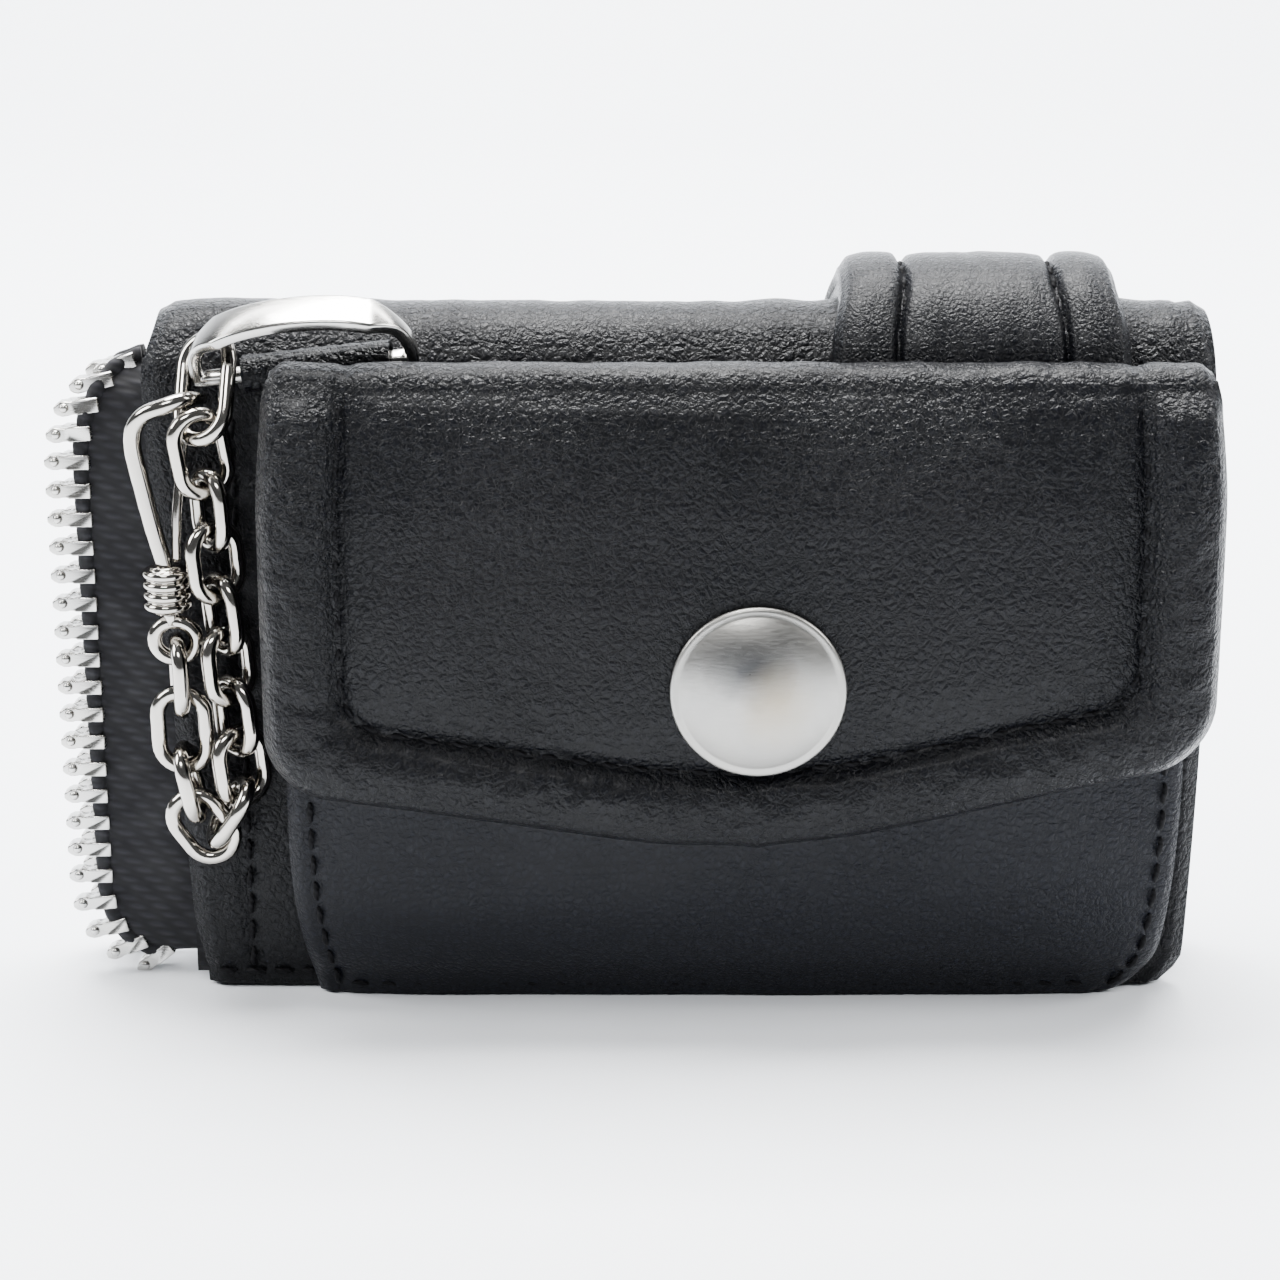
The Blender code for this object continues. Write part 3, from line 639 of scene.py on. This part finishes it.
def make_teeth(name, y, start, node, facing):
    """A row of teeth clamped on the tape's cord, each with a rounded nub on its head."""
    points, faces = [], []
    for where, along in walk(zip_line(y), TOOTH_PITCH, start):
        flat = Vector((along.x, 0.0, along.z))
        lean = math.atan2(flat.x, -flat.z)
        tilt = lean * (0.45 if lean > 0 else -0.3)
        out = Vector((-math.cos(tilt), 0.0, -math.sin(tilt)))
        run = Vector((math.sin(tilt), 0.0, -math.cos(tilt)))
        deep = Vector((0.0, 1.0, 0.0))
        add_solid(points, faces, [[where + out * u + run * v + deep * w for u, v, w in loop]
                                  for loop in tooth_loops(facing)])
        nub = []
        for radius, rise in ((0.52, 0.7), (0.50, 0.95), (0.38, 1.15), (0.2, 1.25), (0.06, 1.27)):
            ring = []
            for j in range(12):
                a = 2 * math.pi * j / 12
                ring.append(where + out * (2.75 + radius * math.cos(a)) + run * (radius * math.sin(a) - 0.12)
                            + deep * facing * rise)
            nub.append(ring)
        add_solid(points, faces, nub)
    row = mesh_object(name, points, faces)
    face_outwards(row)
    modifier(row, "BEVEL", width=0.07 * MM, segments=2, limit_method="ANGLE", angle_limit=math.radians(40.0))
    return finish_piece(row, TEETH_METAL, "case", (node,))


def make_tape(name, y, node):
    """One half of the zip's cloth tape, with the cord that the teeth clamp along its outer edge."""
    grid = []
    for spot in zip_line(y):
        inner = Vector((-49.0, y, min(max(spot.z, 3.0), 64.0)))
        row = []
        for t in spread(0.0, 1.0, 18):
            here = spot.lerp(inner, t)
            wave = 0.22 * ripple(here.x, 0.0, here.z, 9.0, y) * math.sin(math.pi * t)
            row.append((here.x, here.y + wave - 0.35, here.z))
        grid.append(row)
    tape = skin(name, grid, 0.7, rounding=0.15)
    finish_piece(tape, TAPE_CLOTH, "case", (node,))
    line = [where for where, along in walk(zip_line(y, 0.2), 0.5, 0.2)]
    radii = [0.8 + 0.1 * math.cos(2 * math.pi * i * 0.5 / TOOTH_PITCH) for i in range(len(line))]
    finish_piece(tube(name + "_cord", line, radii, sides=14), TAPE_CLOTH, "case")


def make_zip():
    make_tape("tape_front", -ZIP_TAPE_Y, "zip_tape_front")
    make_tape("tape_back", ZIP_TAPE_Y, "zip_tape_back")
    make_teeth("teeth_front", -ZIP_TAPE_Y, TEETH_START_FRONT, "zip_teeth_front", -1)
    make_teeth("teeth_back", ZIP_TAPE_Y, TEETH_START_BACK, "zip_teeth_back", 1)


# ---------------------------------------------------------------- coin pocket

def pocket_left(z):
    """The pocket's left edge, drawn in a little towards the foot."""
    return POCKET_LEFT + 2.2 * max((19.0 - z) / 19.0, 0.0) ** 2


def pocket_right(z):
    """The pocket's right edge, with its rounded lower corner."""
    drop = max(POCKET_CORNER - z, 0.0)
    lean = 1.6 * max((24.0 - z) / 24.0, 0.0) ** 2
    return POCKET_RIGHT - (POCKET_CORNER - math.sqrt(POCKET_CORNER ** 2 - drop ** 2)) * 0.7 - lean


def make_pocket():
    """The pocket's front: full at the middle, drawn down to the body along its seams."""
    profile = smooth_line([(0, -15.0, 57.0), (0, -15.0, 46.0), (0, -15.0, 33.0), (0, -14.8, 22.0),
                           (0, -13.7, 12.0), (0, -11.8, 6.0), (0, -10.0, 2.6), (0, -9.4, 0.3)], 9)
    grid = []
    for spot in profile:
        row = []
        for t in spread(0.0, 1.0, 120):
            left, right = pocket_left(spot.z), pocket_right(spot.z)
            x = left + (right - left) * t
            edge = min(x - left, right - x)
            seam = min(abs(x - left - POCKET_SEAM_LEFT), abs(right - x - POCKET_SEAM_RIGHT))
            lift = groove(seam, 0.7, 0.4) - 0.9 * (1 - ease(edge, 0.0, 1.8)) ** 2
            lift += 0.35 * ripple(x, 0, spot.z, 15.0, 4.2) * ease(edge, 2.0, 10.0)
            lift += 0.5 * math.sin(math.pi * t) * (1 - ease(spot.z, 4.0, 40.0))
            row.append((x, spot.y - lift, spot.z))
        grid.append(row)
    front = skin("pocket_leather", grid, 1.6)
    finish_piece(front, SMOOTHER, "case", ("pocket_front",))
    foot = [(x, -9.75, 1.5) for x in spread(POCKET_LEFT + 5.0, POCKET_RIGHT - 7.5, 60)]
    stitches("stitches_pocket_foot", foot, (0, -1, 0.4))
    seams = (("left", pocket_left, POCKET_SEAM_LEFT), ("right", pocket_right, -POCKET_SEAM_RIGHT))
    for name, side, offset in seams:
        line = [(side(spot.z) + offset, spot.y - 0.1, spot.z) for spot in reversed(profile) if spot.z > 0.8]
        stitches("stitches_pocket_" + name, line, (0, -1, 0))


# ---------------------------------------------------------------- flap

def flap_low(x):
    """Height of the flap's lower edge without its rounded corners: a shallow, softened point."""
    tip_x, tip_z = FLAP_TIP
    side_x, side_z = (FLAP_LEFT, FLAP_LEFT_Z) if x < tip_x else (FLAP_RIGHT, FLAP_RIGHT_Z)
    softened = 1.1 * math.exp(-((x - tip_x) / 7.0) ** 2)
    return tip_z + (side_z - tip_z) * (x - tip_x) / (side_x - tip_x) + softened


def flap_edge(x):
    """Height of the flap's lower edge, rounded at both corners."""
    inside = max(FLAP_CORNER - min(x - FLAP_LEFT, FLAP_RIGHT - x), 0.0)
    return flap_low(x) + FLAP_CORNER - math.sqrt(max(FLAP_CORNER ** 2 - inside ** 2, 0.0))


def flap_inset(x, z):
    """Distance from the flap's edge, stretched at its corners so that the seam turns them in a curve."""
    side, below = min(x - FLAP_LEFT, FLAP_RIGHT - x), (z - flap_low(x)) * FLAP_SLOPE
    centre = SEAM_INSET + SEAM_CORNER
    if side >= centre or below >= centre:
        return max(min(side, below), 0.0)
    away = math.hypot(centre - side, centre - below)
    if away <= SEAM_CORNER:
        return centre - away
    cosine, sine = (centre - side) / away, (centre - below) / away
    straight = centre - FLAP_CORNER
    if min(cosine, sine) * centre <= max(cosine, sine) * straight:
        reach = centre / max(cosine, sine)
    else:
        ahead = straight * (cosine + sine)
        reach = ahead + math.sqrt(ahead ** 2 - 2 * straight ** 2 + FLAP_CORNER ** 2)
    return max(SEAM_INSET * (reach - away) / (reach - SEAM_CORNER), 0.0)


def flap_lift(x, z):
    """How far the flap's face stands proud: a rolled border, a sunken seam and a soft middle."""
    edge = flap_inset(x, z)
    roll = 1.6 * math.sin(math.pi * min(edge / SEAM_INSET, 1.0)) ** 0.6 if edge < SEAM_INSET else 0.0
    roll *= 1 + 0.2 * ripple(x * 1.1, 0, z * 1.1, 2.2, 2.0)
    middle = 0.5 * ease(edge, SEAM_INSET, SEAM_INSET + 6.0)
    round_over = -1.0 * (1 - ease(edge, 0.0, 1.6)) ** 2
    sewn = groove(edge - SEAM_INSET, 0.85, 0.6)
    return roll + middle + sewn + round_over + 0.3 * ripple(x, 0, z, 13.0, 5.0)


def fold_lift(x, y, z):
    """How far the leather stands proud over the fold: fine crumples, rounded ends and the end of the seam."""
    edge = min(x - FLAP_LEFT, FLAP_RIGHT - x)
    lift = 0.22 * ripple(x * 1.8, y, z, 5.0, 7.0) - 0.8 * (1 - ease(edge, 0.0, 1.8)) ** 2
    return lift + groove(edge - SEAM_INSET, 0.85, 0.4)


def narrowed(x, z):
    """The flap draws in a little towards its fold."""
    middle = (FLAP_LEFT + FLAP_RIGHT) / 2
    return middle + (x - middle) * (1 - 0.012 * ease(z, 56.0, 66.0) - 0.014 * ease(z, 65.0, 68.8))


def flap_seam():
    """The sewn line inside the flap's edge, from the top left round to the top right, as (x, z)."""
    centre = SEAM_INSET + SEAM_CORNER
    turn = [(centre - SEAM_CORNER * c, centre - SEAM_CORNER * s) for c, s in map(at_angle, spread(0, 90, 8))]

    def above(x, below):
        return x, flap_low(x) + below / FLAP_SLOPE

    left, right = FLAP_LEFT + SEAM_INSET, FLAP_RIGHT - SEAM_INSET
    line = [(left, z) for z in spread(66.0, above(left, centre)[1] + 0.6, 16)]
    line += [above(FLAP_LEFT + side, below) for side, below in turn]
    line += [above(x, SEAM_INSET) for x in spread(FLAP_LEFT + centre + 1.0, FLAP_RIGHT - centre - 1.0, 40)]
    line += [above(FLAP_RIGHT - side, below) for side, below in reversed(turn)]
    line += [(right, z) for z in spread(above(right, centre)[1] + 0.6, 66.0, 16)]
    return line


def flap_face_y(z):
    """Depth of the flap's resting face at a height."""
    crown = [(67.4, -17.2), (65.4, -18.1), (62.0, -19.2), (55.0, -20.3), (46.0, FLAP_FACE_Y),
             (0.0, FLAP_FACE_Y)]
    for (z0, y0), (z1, y1) in zip(crown, crown[1:]):
        if z >= z1:
            return y0 + (y1 - y0) * (z0 - z) / (z0 - z1)
    return FLAP_FACE_Y


def make_flap():
    """One leather from its sewn root on the body, over the fold and down the front."""
    fold = smooth_line([(0, -8.2, 63.6), (0, -9.7, 65.6), (0, -11.6, 67.6), (0, -13.7, 68.7),
                        (0, -15.6, 68.6), (0, -16.7, 68.0), (0, FOLD_END_Y, FOLD_END_Z)], 4)
    corner = [FLAP_CORNER * (1 - at_angle(a)[0]) for a in spread(2, 90, 12)]
    columns = ([FLAP_LEFT + inset for inset in corner]
               + spread(FLAP_LEFT + FLAP_CORNER, FLAP_RIGHT - FLAP_CORNER, 170)[1:-1]
               + [FLAP_RIGHT - inset for inset in reversed(corner)])
    grid = []
    for spot in fold:
        row = []
        for x in columns:
            away = Vector((0, spot.y + 13.5, (spot.z - 64.5) * ease(spot.z, FOLD_END_Z, 68.4)))
            away.normalize()
            lift = fold_lift(x, spot.y, spot.z)
            row.append((narrowed(x, spot.z), spot.y + away.y * lift, spot.z + away.z * lift))
        grid.append(row)
    for part in spread(0.0, 1.0, 110)[1:]:
        row = []
        for x in columns:
            z = FOLD_END_Z + (flap_edge(x) - FOLD_END_Z) * part
            settle = ease(FOLD_END_Z - z, 0.0, 3.0)
            lift = flap_lift(x, z) * settle + fold_lift(x, FOLD_END_Y, FOLD_END_Z) * (1 - settle)
            row.append((narrowed(x, z), flap_face_y(z) - lift, z))
        grid.append(row)
    flap = skin("flap_outer", grid, 1.4)
    flap.data.materials.append(PEBBLED)
    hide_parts("flap_leather", "flap_root")
    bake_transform(flap)
    inner = []
    for part in spread(0.03, 1.0, 40):
        row = []
        for x in columns[8:-8]:
            z = 66.8 + (flap_edge(x) + 2.2 - 66.8) * part
            row.append((narrowed(x, z), flap_face_y(z) + 1.6 - 0.2 * ripple(x, 0, z, 13.0, 5.0), z))
        inner.append(row)
    lining = skin("flap_lining_cloth", inner, 0.6, rounding=0.1)
    finish_piece(lining, LINING_CLOTH, "flap", ("flap_lining",))
    line = [(narrowed(x, z), flap_face_y(z) - flap_lift(x, z) - 0.1, z) for x, z in flap_seam()]
    stitches("stitches_flap", line, (0, -1, 0), body="flap")


def make_snap():
    """The domed cap on its thin rim; its lettering is left out."""
    base = FLAP_FACE_Y - 0.75
    opening = 52
    edge_cosine, edge_sine = at_angle(opening)
    dome = [(7.7 * s / edge_sine, 0.75 + 1.75 * (c - edge_cosine) / (1 - edge_cosine))
            for c, s in map(at_angle, spread(0, opening, 18))]
    rim = [(7.9, 0.62), (8.2, 0.66), (8.5, 0.6), (8.68, 0.36), (8.62, 0.06), (8.3, -0.15), (7.6, -0.35),
           (0.0, -0.35)]
    cap = lathe("snap_dome", dome + rim, (SNAP_X, base, SNAP_Z), (0, -1, 0), steps=96)
    finish_piece(cap, CAP_METAL, "flap", ("snap_cap",))
    post = lathe("snap_post", [(0.0, -2.9), (1.35, -2.9), (1.35, 0.2), (0.0, 0.2)],
                 (SNAP_X, base, SNAP_Z), (0, -1, 0), steps=32)
    finish_piece(post, SATIN, "flap")


# ---------------------------------------------------------------- strap

def strap_line():
    """Points and outward directions along the strap's middle, from under the flap to its rounded end."""
    middle = HALF_DEPTH + STRAP_GAP + STRAP_THICKNESS / 2
    line = []
    for a in spread(170, 6, 26):
        out = Vector((0, *at_angle(a)))
        line.append((Vector((0, 0, SPINE_Z)) + out * middle, out))
    line += [(Vector((0, middle - 0.3 * ease(SPINE_Z - z, 0, 3), z)), Vector((0, 1, 0)))
             for z in spread(SPINE_Z, STRAP_END_Z + 0.02, 36)]
    return line


def puff(edge):
    """The strap's padding: a low roll on each side of its sewn lines."""
    if edge < STRAP_SEAM_INSET:
        return math.sin(math.pi * edge / STRAP_SEAM_INSET)
    return 0.6 * ease(edge, STRAP_SEAM_INSET, 9.0)


def make_strap():
    """A padded strap of two leathers sewn together, with a groove along its sides."""
    half = (STRAP_RIGHT - STRAP_LEFT) / 2
    centre = (STRAP_LEFT + STRAP_RIGHT) / 2
    loops = []
    section = [(u, 1) for u in spread(-1.0, 1.0, 120)]
    section += [(1.012, 0.55), (1.0, 0.12), (0.985, 0.0), (1.0, -0.12), (1.012, -0.55)]
    section += [(u, -1) for u in spread(1.0, -1.0, 16)]
    section += [(-1.012, -0.55), (-1.0, -0.12), (-0.985, 0.0), (-1.0, 0.12), (-1.012, 0.55)]
    for spot, out in strap_line():
        thick = STRAP_THICKNESS / 2
        flare = 1 if out.y < 0.99 else 1 - ease(SPINE_Z - spot.z, 0, 8)
        reach = half + 0.9 * ease(abs(spot.y), 4.0, 9.0) * flare
        if out.y > 0.99:
            thick -= 0.55 * ease(SPINE_Z - spot.z, 0.0, 8.0)
            tail = half - (spot.z - STRAP_END_Z)
            if tail > 0:
                reach = math.sqrt(max(half ** 2 - tail ** 2, 0.04))
        loop = []
        for u, v in section:
            x = centre + u * reach
            lift = thick * v
            if v == 1:
                edge = (1 - abs(u)) * reach
                lift += 0.55 * puff(edge) + groove(edge - STRAP_SEAM_INSET, 0.45, 0.95)
                lift -= 0.9 * (1 - ease(edge, 0.0, 1.2)) ** 2
                lift += 0.14 * ripple(x * 1.5, spot.y * 0.4, spot.z * 0.4, 3.0, 9.0) * ease(edge, 0.5, 3.0)
                lift += 0.35 * ease(edge, 0, 6) + 0.7 * (1 - ease(SPINE_Z - spot.z, 0.0, 6.0))
            loop.append(Vector((x, 0, 0)) + Vector((0, spot.y, spot.z)) + out * lift)
        loops.append(loop)
    strap = loft("strap_leather_piece", loops)
    modifier(strap, "BEVEL", width=0.35 * MM, segments=2, limit_method="ANGLE",
             angle_limit=math.radians(50.0))
    strap.data.materials.append(STRAP_LEATHER)
    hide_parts("belt_strap", "strap_tail")
    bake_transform(strap)
    outer = HALF_DEPTH + STRAP_GAP + STRAP_THICKNESS + 0.25
    for name, x in (("left", STRAP_LEFT + STRAP_SEAM_INSET), ("right", STRAP_RIGHT - STRAP_SEAM_INSET)):
        over = [(x, outer * c, SPINE_Z + outer * s) for c, s in map(at_angle, spread(166, 12, 60))]
        stitches("stitches_strap_" + name, over, lambda at: (0, at.y, at.z - SPINE_Z), pitch=2.9)


# ---------------------------------------------------------------- ring, chain and clasp

def ring_axes():
    """The ring's own directions: along its bar, up its arch and through its plane."""
    up = Vector((0, -math.sin(RING_LEAN), math.cos(RING_LEAN)))
    along = Vector((1, 0, 0)) * math.cos(RING_TILT) + up * math.sin(RING_TILT)
    rise = up * math.cos(RING_TILT) - Vector((1, 0, 0)) * math.sin(RING_TILT)
    return along, rise, along.cross(rise)


def make_ring_tab():
    """The leather wrapped round the ring's bar, open below."""
    along, rise, through = ring_axes()
    grid = []
    for a in spread(240, -60, 31):
        cosine, sine = at_angle(a)
        out = through * cosine + rise * sine
        row = []
        for reach in spread(-6.2, 8.7, 52):
            radius = 1.9 + 0.1 * ripple(reach * 1.6, a / 40.0, 0.0, 2.0, 6.0)
            row.append(tuple(RING_CENTRE + along * reach + out * radius))
        grid.append(row)
    tab = skin("ring_tab_leather", grid, 0.5, rounding=0.12)
    finish_piece(tab, PEBBLED, "case", ("d_ring_tab",))


def make_ring():
    """A flat band bent to a low arch on a straight bar, wide over the arch and slim at the foot."""
    along, rise, through = ring_axes()
    half = RING_HALF_WIDTH
    line = [(half * c, RING_RISE * max(s, 0.0) ** 0.6) for c, s in map(at_angle, spread(0, 180, 73))]
    line += [(x, 0.0) for x in spread(-half, half, 30)[1:-1]]
    loops = []
    for i, (u, v) in enumerate(line):
        ahead, behind = Vector(line[(i + 1) % len(line)]), Vector(line[i - 1])
        tangent = (ahead - behind).normalized()
        out = Vector((tangent.y, -tangent.x))
        share = min(max((v - 3.2) / 2.4, 0.0), 1.0) ** 2
        band = (RING_FOOT_BAND + (RING_BAND - RING_FOOT_BAND) * share) / 2
        thick = RING_THICKNESS / 2
        bend = 0.35
        section = []
        for quarter, (cx, cy) in enumerate(((1, 1), (-1, 1), (-1, -1), (1, -1))):
            for c, s in map(at_angle, spread(90 * quarter, 90 * quarter + 90, 5)):
                section.append((cx * (thick - bend) + bend * c, cy * (band - bend) + bend * s))
        loops.append([RING_CENTRE + along * (u + out.x * p) + rise * (v + out.y * p) + through * q
                      for p, q in section])
    ring = loft("ring_band", loops, closed=True)
    finish_piece(ring, RING_METAL, "ring", ("d_ring",))


def link_line(top, bottom, turn, inner_width):
    """The rounded line of a link's wire between its two contact points."""
    down = (bottom - top).normalized()
    across = Vector((1, 0, 0))
    across = (across - down * across.dot(down)).normalized()
    across = Matrix.Rotation(math.radians(turn), 3, down) @ across
    radius = (inner_width + WIRE) / 2
    straight = (bottom - top).length / 2 + (WIRE + 0.3) / 2 - radius
    middle = (top + bottom) / 2
    points = []
    for centre, start in ((-straight, 180), (straight, 0)):
        for c, s in map(at_angle, spread(start, start + 180, 15)):
            points.append(middle + across * radius * c + down * (centre + radius * s))
    return points


def link_body(node):
    """The moving body that a CAD node belongs to."""
    for body, nodes in frame["record"]["behaviour"]["bodies"].items():
        if node in nodes:
            return body


def make_link(number, top, bottom, turn, inner_width=3.3):
    node = f"chain_link_{number:02d}"
    line = link_line(Vector(top), Vector(bottom), turn, inner_width)
    ring = tube(f"link_{number:02d}", line, WIRE / 2, closed=True, sides=20)
    finish_piece(ring, BRIGHT, link_body(node), (node,))


RIGHT_STRAND = [(-47.3, 55.9), (-47.0, 50.5), (-46.6, 45.1), (-46.1, 39.7), (-45.7, 34.3), (-45.3, 28.9),
                (-44.8, 23.5)]
RIGHT_TURNS = (52, -38, 50, -46, 45, -37)
LEFT_STRAND = [(-51.1, 38.7), (-51.0, 33.2), (-50.9, 27.1), (-49.85, 21.8)]
LEFT_TURNS = (76, 4, 90)


def make_chain():
    make_link(0, (-47.02, -8.43, 69.18), (-47.45, -12.48, 61.67), 27.35, 3.8)
    make_link(1, (-48.03, -12.58, 62.26), (-47.3, CHAIN_Y, 55.9), -27)
    for i, turn in enumerate(RIGHT_TURNS):
        (x0, z0), (x1, z1) = RIGHT_STRAND[i:i + 2]
        make_link(i + 2, (x0, CHAIN_Y, z0), (x1, CHAIN_Y, z1), turn)
    for i, turn in enumerate(LEFT_TURNS):
        (x0, z0), (x1, z1) = LEFT_STRAND[i:i + 2]
        make_link(12 - i, (x0, CHAIN_Y, z0), (x1, CHAIN_Y, z1), turn)
    reach = (WIRE + 0.3) / 2
    high, low = Vector((-44.41, -12.0, 24.42)), Vector((-48.33, -10.83, 18.39))
    down = (low - high).normalized()
    make_link(8, high + down * reach, low - down * reach, 82)
    middle = Vector((-49.2, -11.4, 19.75))
    cosine, sine = at_angle(125.0)
    half = Vector((cosine, 0, sine)) * (3.65 - reach)
    make_link(9, middle - half, middle + half, 0)


def make_clasp():
    """The swivel clasp: a tapered hook, a ribbed collar, a sprung gate and the eye below."""
    points = [(-51.9, CHAIN_Y, 47.2), (-52.2, CHAIN_Y, 48.6), (-52.9, -11.3, 51.5), (-53.8, -11.5, 56.0),
              (-54.4, -11.8, 59.6), (-54.1, -12.3, 61.8), (-52.9, -12.9, 63.3), (-51.1, -13.2, 64.1),
              (-49.5, -12.7, 64.6), (-48.3, -11.5, 64.6), (-47.4, -10.4, 64.3)]
    line = smooth_line(points, 6)
    radii = []
    for i in range(len(line)):
        t = i / (len(line) - 1)
        radii.append(WIRE / 2 * (1.0 + 0.18 * math.sin(math.pi * min(t * 1.25, 1.0)) * (1 - t)
                                 - 0.35 * ease(t, 0.86, 1.0)))
    hook = tube("clasp_hook_wire", line, radii, sides=24)
    finish_piece(hook, BRIGHT, link_body("clasp_hook"), ("clasp_hook",))

    profile = [(0.0, 47.6), (1.2, 47.6), (1.7, 47.45), (1.8, 47.2)]
    for i in range(3, -1, -1):
        low = 42.9 + 1.1 * i
        profile += [(2.0 + 0.42 * s, low + 0.55 + 0.45 * c) for c, s in map(at_angle, spread(15, 165, 7))]
        profile.append((1.98, low))
    profile += [(1.7, 42.7), (0.0, 42.6)]
    collar = lathe("clasp_collar_ribs", profile, (COLLAR_X, CHAIN_Y, 0), (0, 0, 1), steps=48)
    finish_piece(collar, BRIGHT, link_body("clasp_collar"), ("clasp_collar",))

    gate = smooth_line([(-50.7, CHAIN_Y, 48.0), (-50.5, -10.9, 53.0), (-50.0, -10.1, 57.5),
                        (-49.6, -9.8, 60.2)], 8)
    radii = [0.5 - 0.12 * ease(i / (len(gate) - 1), 0.8, 1.0) for i in range(len(gate))]
    bar = tube("clasp_gate_wire", gate, radii, sides=16)
    finish_piece(bar, BRIGHT, link_body("clasp_gate"), ("clasp_gate",))

    eye = [Vector((EYE_X + 2.1 * c, CHAIN_Y, EYE_Z + 1.95 * s)) for c, s in map(at_angle, range(0, 360, 10))]
    ring = tube("clasp_eye_ring", eye, 0.75, closed=True, sides=20)
    finish_piece(ring, BRIGHT, link_body("clasp_eye"), ("clasp_eye",))
    stem = lathe("clasp_eye_stem", [(0.0, 42.75), (0.9, 42.75), (0.75, 42.2), (0.8, 41.4), (0.0, 41.3)],
                 (-51.5, CHAIN_Y, 0), (0, 0, 1), steps=24)
    finish_piece(stem, BRIGHT, link_body("clasp_eye"))


# ---------------------------------------------------------------- what stays as CAD

def dress_cad():
    """Give the CAD nodes that stay in view their finished materials."""
    finishes = {
        EDGE_LEATHER: ("bottom_gusset", "bill_divider", "card_panel_short", "card_panel_tall",
                       "pocket_gusset_left", "pocket_gusset_right"),
        LINING_CLOTH: ("shell_lining",),
        TEETH_METAL: ("zip_slider", "zip_pull"),
        SATIN: ("snap_socket", "snap_stud", "snap_washer", "strap_snap_cap"),
    }
    for finish, names in finishes.items():
        for name in names:
            mesh = frame["nodes"][name].data
            mesh.materials.clear()
            mesh.materials.append(finish)


# ---------------------------------------------------------------- stage, light and camera

def make_stage():
    floor = bpy.data.meshes.new("floor")
    bend_y, bend_radius = 700.0, 400.0
    profile = [(-900.0, 0.0)] + [(y, 0.0) for y in spread(-600.0, bend_y, 6)]
    profile += [(bend_y + bend_radius * s, bend_radius * (1 - c))
                for c, s in map(at_angle, spread(6, 90, 15))]
    profile.append((bend_y + bend_radius, 1600.0))
    points = [(x * MM, y * MM, z * MM) for y, z in profile for x in (-1500.0, 1500.0)]
    faces = [(2 * i, 2 * i + 1, 2 * i + 3, 2 * i + 2) for i in range(len(profile) - 1)]
    floor.from_pydata(points, [], faces)
    floor.shade_smooth()
    floor.materials.append(paper())
    sweep = bpy.data.objects.new("floor", floor)
    bpy.context.scene.collection.objects.link(sweep)


def make_lamp(name, place, target, size, power):
    lamp = bpy.data.lights.new(name, "AREA")
    lamp.shape = "RECTANGLE"
    lamp.size, lamp.size_y = size
    lamp.energy = power
    thing = bpy.data.objects.new(name, lamp)
    thing.location = Vector(place)
    thing.rotation_euler = (Vector(target) - Vector(place)).to_track_quat("-Z", "Y").to_euler()
    bpy.context.scene.collection.objects.link(thing)


def make_light():
    middle = (0.0, 0.0, 0.04)
    make_lamp("softbox_top", (-0.05, 0.15, 0.80), middle, (0.55, 0.4), 34.0)
    make_lamp("softbox_left", (-0.75, -0.10, 0.50), middle, (0.3, 0.4), 7.5)
    make_lamp("softbox_right", (0.75, -0.10, 0.55), middle, (0.3, 0.4), 7.5)
    make_lamp("softbox_front", (-0.15, -0.75, 0.85), middle, (0.4, 0.2), 6.0)
    make_lamp("backdrop", (0.0, 0.45, 0.9), (0.0, 1.1, 0.35), (1.6, 0.4), 55.0)
    world = bpy.data.worlds.new("studio")
    world.use_nodes = True
    back = world.node_tree.nodes["Background"]
    back.inputs["Color"].default_value = (0.93, 0.96, 1.0, 1.0)
    back.inputs["Strength"].default_value = 0.14
    bpy.context.scene.world = world


def make_camera():
    lens = bpy.data.cameras.new("camera")
    lens.lens, lens.sensor_width = 81.0, 36.0
    lens.clip_start, lens.clip_end = 0.01, 20.0
    camera = bpy.data.objects.new("camera", lens)
    camera.location = (-0.0043, -0.28935, 0.12472)
    camera.rotation_euler = (math.radians(73.0), 0.0, 0.0)
    bpy.context.scene.collection.objects.link(camera)
    bpy.context.scene.camera = camera


make_stage()
make_light()
make_camera()
make_shell()
make_right_end()
make_zip()
make_pocket()
make_flap()
make_snap()
make_strap()
make_ring_tab()
make_ring()
make_chain()
make_clasp()
dress_cad()
